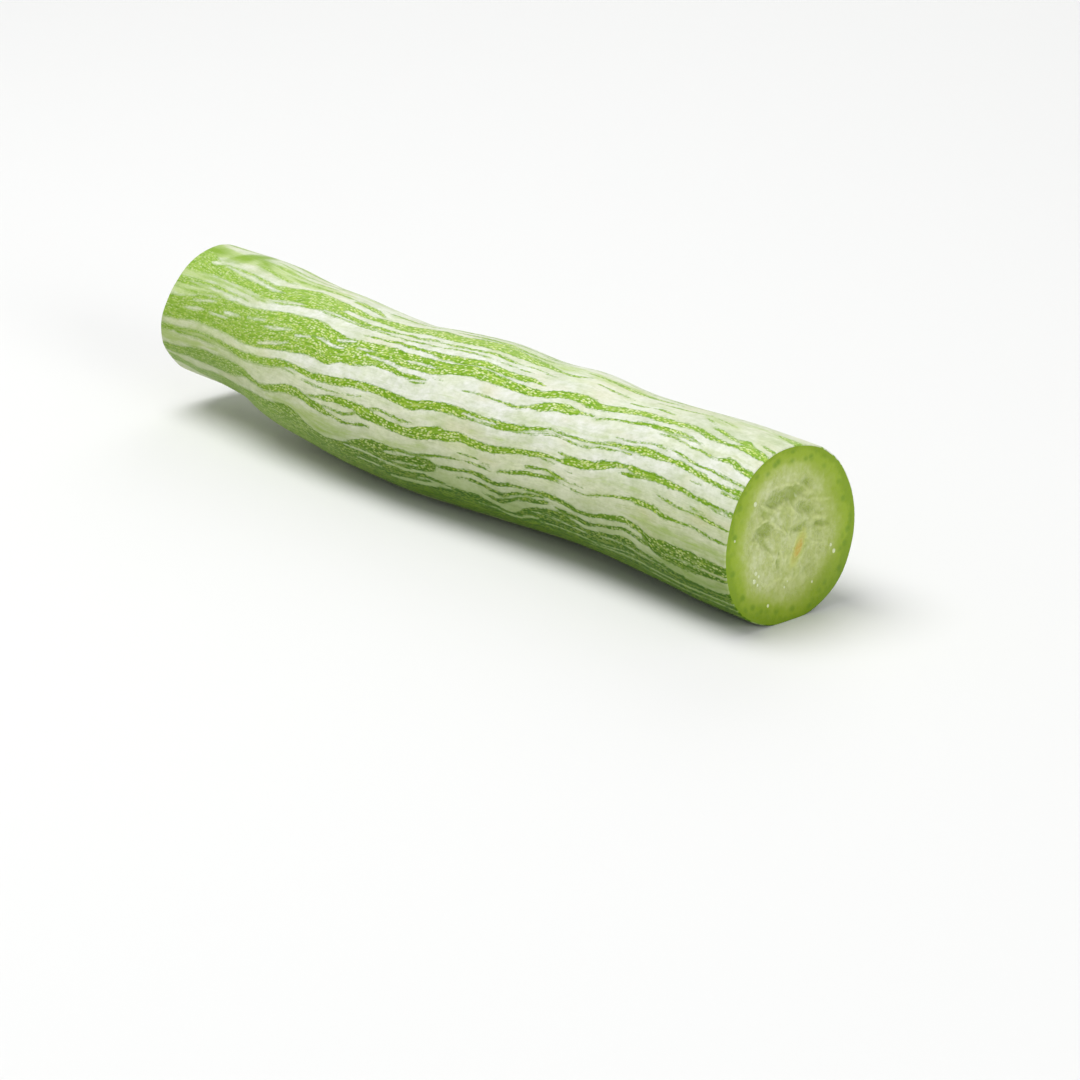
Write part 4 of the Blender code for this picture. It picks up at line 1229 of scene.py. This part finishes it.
def make_seeds(material):
    """Every cut seed, flush in its cut face: those of the near one, then those of the far one."""
    ends = (("near", LENGTH, 1, (0.0, 0.0), NEAR_SEEDS), ("far", 0.0, -1, (-FAR_LEAN, math.pi), FAR_SEEDS))
    for end, along, outward, facing, seeds in ends:
        for number, (side, up, half_length, half_thickness, turn) in enumerate(seeds, 1):
            piece = add_object(seed_mesh(f"cut_seed_{end}_{number}", half_length, half_thickness), material)
            x, y, z = in_place(np.array([along]), outward * side * MM, up * MM)[0]
            piece.location = (x - outward * PULP_SINK, y, z)
            piece.rotation_euler = (math.radians(turn), *facing)
            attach(piece, "root")
            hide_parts(f"seed_{end}_{number}")


def make_juice(material):
    """Small beads of juice that stand on the near cut."""
    net = bmesh.new()
    segments, rows = JUICE_FINENESS
    end = np.array([LENGTH])
    for side, up, radius in JUICE:
        side, up = np.array([side * MM]), np.array([up * MM])
        share = np.hypot(side, up) / skin_radius(end, np.arctan2(up, side))
        strand = strand_share(side, up, 1.0)
        sunk = face_relief(side, up, share, NEAR_HOLLOWS, NEAR_SEEDS, strand)[0]
        middle = Vector(in_place(end, side, up)[0]) - Vector((sunk, 0, 0))
        place = Matrix.Translation(middle) @ Matrix.Diagonal((*JUICE_SHAPE, 1.0))
        size = radius * MM
        bmesh.ops.create_uvsphere(net, u_segments=segments, v_segments=rows, radius=size, matrix=place)
    beads = add_object(mesh_of(net, "juice_beads"), material)
    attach(beads, "root")


class Shading:
    """One material's nodes, with short forms for adding and joining them."""

    def __init__(self, name):
        self.material = bpy.data.materials.new(name)
        self.material.use_nodes = True
        self.tree = self.material.node_tree
        self.shader = self.tree.nodes["Principled BSDF"]

    def feed(self, socket, value):
        """Joins another node's socket to this one, or sets the value on it."""
        if isinstance(value, bpy.types.NodeSocket):
            self.tree.links.new(value, socket)
        else:
            socket.default_value = value

    def node(self, kind, inputs, **settings):
        node = self.tree.nodes.new(kind)
        for name, value in settings.items():
            setattr(node, name, value)
        for key, value in inputs.items():
            self.feed(node.inputs[key], value)
        return node

    def set(self, values):
        """The shader's own inputs by name."""
        for name, value in values.items():
            self.feed(self.shader.inputs[name], value)

    def math(self, operation, *values):
        return self.node("ShaderNodeMath", dict(enumerate(values)), operation=operation).outputs[0]

    def sum(self, *values):
        """All the values together, added from the first on."""
        total = values[0]
        for value in values[1:]:
            total = self.math("ADD", total, value)
        return total

    def times(self, *values):
        """All the values multiplied, from the first on."""
        total = values[0]
        for value in values[1:]:
            total = self.math("MULTIPLY", total, value)
        return total

    def more(self, a, b):
        return self.math("MAXIMUM", a, b)

    def eased(self, value, ease):
        """The value times the first number of the ease, plus its second."""
        return self.sum(self.times(value, ease[0]), ease[1])

    def step(self, value, start, end):
        """0 up to start, 1 from end on, with a smooth step between them."""
        inputs = {"Value": value, "From Min": start, "From Max": end}
        return self.node("ShaderNodeMapRange", inputs, interpolation_type="SMOOTHSTEP").outputs["Result"]

    def read(self, name, output):
        return self.node("ShaderNodeAttribute", {}, attribute_name=name).outputs[output]

    def field(self, name):
        return self.read(name, "Fac")

    def axis(self, part):
        """One part of the place on the gourd."""
        return self.node("ShaderNodeSeparateXYZ", {0: self.read("place", "Vector")}).outputs[part]

    def zone(self, zone):
        """1 where the zone is full, and 0 outside it."""
        part, start, full = zone
        return self.step(self.axis(part), start * MM, full * MM)

    def lumps(self, laid, size, shift):
        """The place on the gourd, counted in lumps of the given size in mm."""
        if laid == "course":
            along = self.sum(self.times(self.axis(ALONG), 1 / (size[0] * MM)), shift)
            lane = self.times(self.field("lane"), 1 / size[1])
            return self.node("ShaderNodeCombineXYZ", {0: along, 1: lane, 2: shift}).outputs[0]
        scale = [1 / (length * MM) for length in (size[0], size[1], size[-1])]
        inputs = {0: self.read(laid, "Vector"), 1: scale, 2: (shift, shift, shift)}
        return self.node("ShaderNodeVectorMath", inputs, operation="MULTIPLY_ADD").outputs[0]

    def noise(self, layer):
        """The layer's noise, about 0."""
        lumps = self.lumps(layer.laid, layer.size, layer.shift)
        inputs = {"Vector": lumps, "Scale": 1.0, "Detail": layer.detail, "Roughness": NOISE_ROUGHNESS}
        value = self.node("ShaderNodeTexNoise", inputs).outputs["Fac"]
        low, high = NOISE_RANGE
        inputs = {"Value": value, "From Min": low, "From Max": high}
        inputs.update({"To Min": -layer.swing, "To Max": layer.swing})
        return self.node("ShaderNodeMapRange", inputs, clamp=False).outputs["Result"]

    def shown(self, value, layer):
        """How much of a layer shows where its noise, or what is read in its place, has this value."""
        share = self.step(value, layer.start, layer.end)
        return share if layer.share == 1.0 else self.times(share, layer.share)

    def cover(self, layer):
        """How much of a layer shows."""
        return self.shown(self.noise(layer), layer)

    def crossing(self, layer):
        """Thin crooked lines, where the layer's noise crosses 0."""
        return self.shown(self.math("ABSOLUTE", self.noise(layer)), layer)

    def cells(self, lumps):
        """Distance from the middle of the nearest cell, and a number from 0 to 1 that is the cell's own."""
        cells = self.node("ShaderNodeTexVoronoi", {"Vector": lumps, "Scale": 1.0})
        own = self.node("ShaderNodeSeparateColor", {0: cells.outputs["Color"]}).outputs[0]
        return cells.outputs["Distance"], own

    def mix(self, share, a, b):
        return self.node("ShaderNodeMix", {0: share, 6: a, 7: b}, data_type="RGBA").outputs[2]

    def blend(self, share, a, b):
        """The same for plain numbers."""
        return self.node("ShaderNodeMix", {0: share, 2: a, 3: b}).outputs[0]

    def film(self, share, colour, tint):
        """The colour as seen through a tinted film that covers a share of it."""
        inputs = {0: 1.0, 6: colour, 7: tint}
        tinted = self.node("ShaderNodeMix", inputs, data_type="RGBA", blend_type="MULTIPLY").outputs[2]
        return self.mix(share, colour, tinted)

    def bump(self, height, distance):
        inputs = {"Height": height, "Distance": distance, "Strength": 1.0}
        return self.node("ShaderNodeBump", inputs).outputs["Normal"]


def veil_share(s, far, top):
    """How thickly the thin green veil lies, broken by a grain that counts less at the far end."""
    spread = s.shown(s.sum(s.field("veil"), s.noise(VEILING)), VEILING)
    veil = s.more(spread, s.more(s.times(far, VEIL_AT_FAR_END), s.times(top, VEIL_ON_TOP)))
    spared = s.times(far, VEIL_SPARED)
    grained = s.times(s.cover(VEIL_GRAIN), s.eased(spared, (-1.0, VEIL_GRAINED)))
    return s.times(veil, s.sum(grained, s.sum(spared, VEIL_PLAIN)))


def ground_colour(s, far, top, low):
    """Silvery ground: mottled, veined, veiled with thin green and smeared, with painted shade that darkens
    it on the low side, down its side and at the near end.
    """
    ground = s.mix(s.sum(s.cover(MOTTLE), s.cover(CLOUD)), SKIN_PALE, SKIN_GREY)
    ground = s.mix(s.cover(VEIN), ground, SKIN_VEIN)
    ground = s.mix(s.cover(PATCH), ground, SKIN_VEIN)
    warm = s.step(s.noise(WARMTH), s.eased(top, TOP_WARMTH), WARMTH.end)
    ground = s.mix(s.times(warm, WARMTH.share), ground, SKIN_WARM)
    ground = s.mix(veil_share(s, far, top), ground, SKIN_VEIL)
    smeared = s.sum(s.field("smear"), s.noise(SMEARING))
    ground = s.mix(s.shown(smeared, SMEARING), ground, SKIN_SMEAR)
    # Painted shade on the low side
    ground = s.film(low, ground, LOW_GROUND_SHADE_FILM)
    ground = s.film(s.cover(TINGE), ground, TINGE_FILM)
    # Painted shade down the side
    ground = s.film(s.zone(GROUND_SHADE_ZONE), ground, SIDE_SHADE_FILM)
    ground = s.film(s.cover(SPECK), ground, SPECK_FILM)
    # Painted shade over the near end
    near = s.times(s.zone(NEAR_SHADE_ZONE), s.more(top, s.zone(NEAR_SIDE_SHADE_ZONE)))
    return s.film(near, ground, NEAR_SHADE_FILM)


def green_colour(s, far, top, low, shade_past_end, inside):
    """Green of a course: streaked, paler at the far end, paler on top with painted sheen, darker below with
    painted shade, and deeper along its edges.
    """
    green = s.mix(s.cover(TONE), SKIN_GREEN, SKIN_LEAF)
    green = s.mix(s.cover(DARK_STREAK), green, SKIN_DARK_GREEN)
    green = s.mix(s.times(s.eased(far, FAR_SOFT_GREEN), s.cover(LIGHT_STREAK)), green, SKIN_SOFT_GREEN)
    # Paler at the far end, and on top with painted sheen
    paler = s.more(s.times(far, FAR_GREEN_AT_END), s.times(top, SHEEN_GREEN_ON_TOP))
    green = s.mix(paler, green, SKIN_FAR_AND_SHEEN_GREEN)
    # Painted shade: the green deepens low down
    green = s.film(s.times(s.zone(DEEP_SHADE_ZONE), shade_past_end), green, LOW_GREEN_SHADE_FILM)
    edging = s.times(s.step(inside, *EDGING), s.eased(far, FAR_EDGING))
    green = s.mix(edging, green, SKIN_DARK_GREEN)
    share, light = flecks(s, far, low, inside)
    green = s.mix(share, green, light)
    # Painted shade down the side
    return s.film(s.zone(GREEN_SHADE_ZONE), green, SIDE_SHADE_FILM)


def flecks(s, far, low, inside):
    """Where flecks, pale lines and threads lie within the green, and their colour; on the low side painted
    shade thins and dims the flecks.
    """
    stripe = s.field("stripe")
    gap, own = s.cells(s.lumps("course", FLECK_SIZE, 0.0))
    fleck = s.times(s.step(gap, *FLECK_FILL), s.step(own, *FLECK_CHANCE), s.cover(FLECK_CROWD))
    fleck = s.times(fleck, s.step(inside, *FLECK_DEPTH))
    # Fewer flecks on the low side, as part of its painted shade
    losses = s.sum(s.times(far, FLECK_FAR_LOSS), s.times(low, FLECK_SHADE_LOSS))
    fleck = s.times(fleck, s.sum(losses, FLECK_SHARE))
    line = s.times(s.cover(PALE_LINE), s.step(stripe, *PALE_LINE_DEPTH), s.eased(far, FAR_LINES))
    thread = s.times(s.cover(PALE_THREAD), s.step(stripe, *PALE_THREAD_DEPTH), low)
    light = s.mix(s.step(own, *FLECK_TONE), SKIN_FLECK_YELLOW, SKIN_FLECK)
    # Flecks on the low side are dimmed with painted shade
    return s.more(s.more(fleck, line), thread), s.film(low, light, LOW_FLECK_SHADE_FILM)


def skin_colour(s):
    """Silvery mottled ground, and green courses netted with small whitish flecks."""
    far = s.zone(FAR_ZONE)
    top = s.zone(TOP_ZONE)
    # Where the low side is painted shaded, eased off towards the far end
    shade_past_end = s.eased(s.zone(SHADE_END_ZONE), SHADE_END_EASE)
    low = s.times(s.zone(LOW_SHADE_ZONE), shade_past_end)
    ragged = s.sum(*(s.noise(rag) for rag in RAGS))
    inside = s.sum(s.field("stripe"), ragged)
    softened = s.math("DIVIDE", inside, s.eased(far, FAR_SOFTNESS))
    green_share = s.step(softened, *GREEN_EDGE)
    ground = ground_colour(s, far, top, low)
    green = green_colour(s, far, top, low, shade_past_end, inside)
    return s.mix(green_share, ground, green), green_share


def rind_colour(s, rim, depth):
    """Vivid green that fades inwards into pale pulp, dotted with vessels."""
    colour = FLESH_EDGE
    for inner, depths in FLESH_BANDS:
        colour = s.mix(s.step(depth, *depths), colour, inner)
    gap, own = s.cells(s.lumps("place", DOT_SIZE, DOT_SHIFT))
    dot = s.times(s.step(gap, *DOT_FILL), s.step(own, *DOT_CHANCE))
    ring = s.times(s.step(rim, *DOT_OUTER), s.step(rim, *DOT_INNER))
    return s.mix(s.times(dot, ring, DOT_SHARE), colour, FLESH_DOT)


def flesh_colour(s):
    """Dotted rind round pale wet pulp crossed by whitish strands and fibres; hollows darker and ridges
    paler, partly the pulp's own colour and partly painted shade and light.
    """
    rim = s.field("rim")
    side_loss = s.times(s.zone(RIND_SIDE_ZONE), RIND_SIDE_LOSS)
    wander = s.sum(*(s.noise(layer) for layer in RIND_WANDER))
    # The shift at the top paints the top of the cut lighter
    depth = s.sum(rim, wander, side_loss, s.zone(RIND_TOP_LIGHT_ZONE))
    colour = rind_colour(s, rim, depth)
    pulp = s.step(depth, *PULP_DEPTH)
    colour = s.mix(s.times(s.cover(PULP_CLOUD), pulp), colour, FLESH_LIGHT)
    colour = s.mix(s.times(s.cover(PULP_WET), pulp), colour, FLESH_WET)
    # Hollows darker: partly the pulp's own colour, partly painted shade
    deep = s.sum(s.field("hollow"), s.noise(HOLLOW_SHADING))
    colour = s.mix(s.shown(deep, HOLLOW_SHADING), colour, FLESH_HOLLOW_AND_SHADE)
    long, short = (s.crossing(fibre) for fibre in FIBRES)
    fibre = s.times(s.more(long, short), s.cover(FIBRE_PATCH))
    # Raised pulp and fibres paler: partly frost, partly painted light
    frost_and_light = s.sum(s.step(deep, *RIDGE_LIGHT), s.times(fibre, RIDGE_FIBRE))
    colour = s.mix(s.times(frost_and_light, pulp, RIDGE_LIGHT_SHARE), colour, FLESH_FROST_AND_LIGHT)
    colour = s.mix(s.times(s.field("strand"), s.cover(STRAND_BREAK)), colour, FLESH_STRAND)
    colour = s.mix(s.times(s.step(s.field("halo"), *HALO), HALO_SHARE), colour, FLESH_HALO)
    colour = s.mix(s.times(s.step(s.field("halo"), *SEED_RIM), SEED_RIM_SHARE), colour, SEED_EDGE)
    # Painted shade over the cut's lower part
    colour = s.film(s.zone(LOW_FLESH_SHADE_ZONE), colour, LOW_FLESH_SHADE_FILM)
    # Painted shade over the cut's right side, in from the rind
    side = s.times(s.zone(SIDE_FLESH_SHADE_ZONE), s.step(rim, *SIDE_FLESH_SHADE_RIM))
    return s.film(side, colour, SIDE_FLESH_SHADE_FILM), s.times(fibre, pulp)


def gourd_material():
    """Waxy skin, and moist cut faces."""
    s = Shading("gourd_skin_and_flesh")
    cut = s.step(s.field("cut"), *CUT_EDGE)
    skin, green = skin_colour(s)
    flesh, fibre = flesh_colour(s)
    skin_rough = s.sum(s.noise(SKIN_GLOSS), SKIN_ROUGHNESS, s.times(green, GREEN_GLOSS))
    flesh_rough = s.sum(s.noise(FLESH_GLOSS), FLESH_ROUGHNESS)
    relief = s.sum(s.noise(SKIN_RELIEF), s.times(green, GREEN_RELIEF))
    pulp = s.sum(s.step(s.field("rim"), *PORES_RIM), PORES_LEAST)
    pores = s.sum(s.times(s.noise(PORES), pulp), s.times(fibre, FIBRE_RELIEF))
    s.set(GOURD_FINISH)
    s.set({
        "Base Color": s.mix(cut, skin, flesh),
        "Roughness": s.blend(cut, skin_rough, flesh_rough),
        "Normal": s.bump(s.blend(cut, relief, pores), SKIN_BUMP),
        "Coat Weight": s.times(cut, CUT_WETNESS),
    })
    return s.material


def seed_material():
    """Orange and yellow in soft clouds, paler towards the seed's outline."""
    s = Shading("cut_seed")
    place = s.node("ShaderNodeTexCoord", {}).outputs["Object"]
    inputs = {"Vector": place, "Scale": SEED_CLOUD_SCALE, "Detail": 3.0}
    cloud = s.step(s.node("ShaderNodeTexNoise", inputs).outputs["Fac"], *SEED_CLOUD)
    colour = s.mix(cloud, SEED_ORANGE, SEED_YELLOW)
    colour = s.mix(s.step(s.field("edge"), *SEED_EDGE_FROM), colour, SEED_EDGE)
    s.set(SEED_FINISH)
    s.set({"Base Color": colour, "Normal": s.bump(cloud, SEED_BUMP)})
    return s.material


def juice_material():
    s = Shading("juice")
    s.set(JUICE_FINISH)
    s.set({"Base Color": JUICE_PALE})
    return s.material


def floor_material():
    s = Shading("floor")
    s.set({"Base Color": FLOOR_COLOUR, "Roughness": FLOOR_ROUGHNESS})
    return s.material


def make_floor(material):
    net = bmesh.new()
    bmesh.ops.create_grid(net, x_segments=8, y_segments=8, size=FLOOR_SIZE / 2)
    add_object(mesh_of(net, "floor"), material)


def aim(thing, target):
    """Turns a light or the camera towards a point."""
    thing.rotation_euler = (Vector(target) - thing.location).to_track_quat("-Z", "Y").to_euler()


def make_lights():
    """Soft round lamps, and a pale sky all round."""
    for name, place, target, size, power, colour in LIGHTS:
        light = bpy.data.lights.new(name, "AREA")
        light.shape = "DISK"
        light.size = size
        light.energy = power
        light.color = colour
        lamp = bpy.data.objects.new(name, light)
        bpy.context.scene.collection.objects.link(lamp)
        lamp.location = place
        aim(lamp, target)
    world = bpy.data.worlds.new("studio")
    world.use_nodes = True
    background = world.node_tree.nodes["Background"]
    background.inputs["Color"].default_value = WORLD_COLOUR
    background.inputs["Strength"].default_value = WORLD_STRENGTH
    bpy.context.scene.world = world


def make_camera():
    """The camera, at the photograph's viewing angle."""
    data = bpy.data.cameras.new("camera")
    data.sensor_width = SENSOR
    data.lens = LENS
    data.clip_start, data.clip_end = CAMERA_CLIP
    camera = bpy.data.objects.new("camera", data)
    bpy.context.scene.collection.objects.link(camera)
    level = math.cos(CAMERA_RISE)
    back = Vector((math.sin(CAMERA_TURN) * level, -math.cos(CAMERA_TURN) * level, math.sin(CAMERA_RISE)))
    camera.location = Vector(CAMERA_TARGET) + back * CAMERA_DISTANCE
    aim(camera, CAMERA_TARGET)
    bpy.context.scene.camera = camera


def main():
    make_gourd(gourd_material())
    make_seeds(seed_material())
    make_juice(juice_material())
    make_floor(floor_material())
    make_lights()
    make_camera()
    bpy.context.scene.view_settings.view_transform = "Standard"
    bpy.context.view_layer.update()


main()
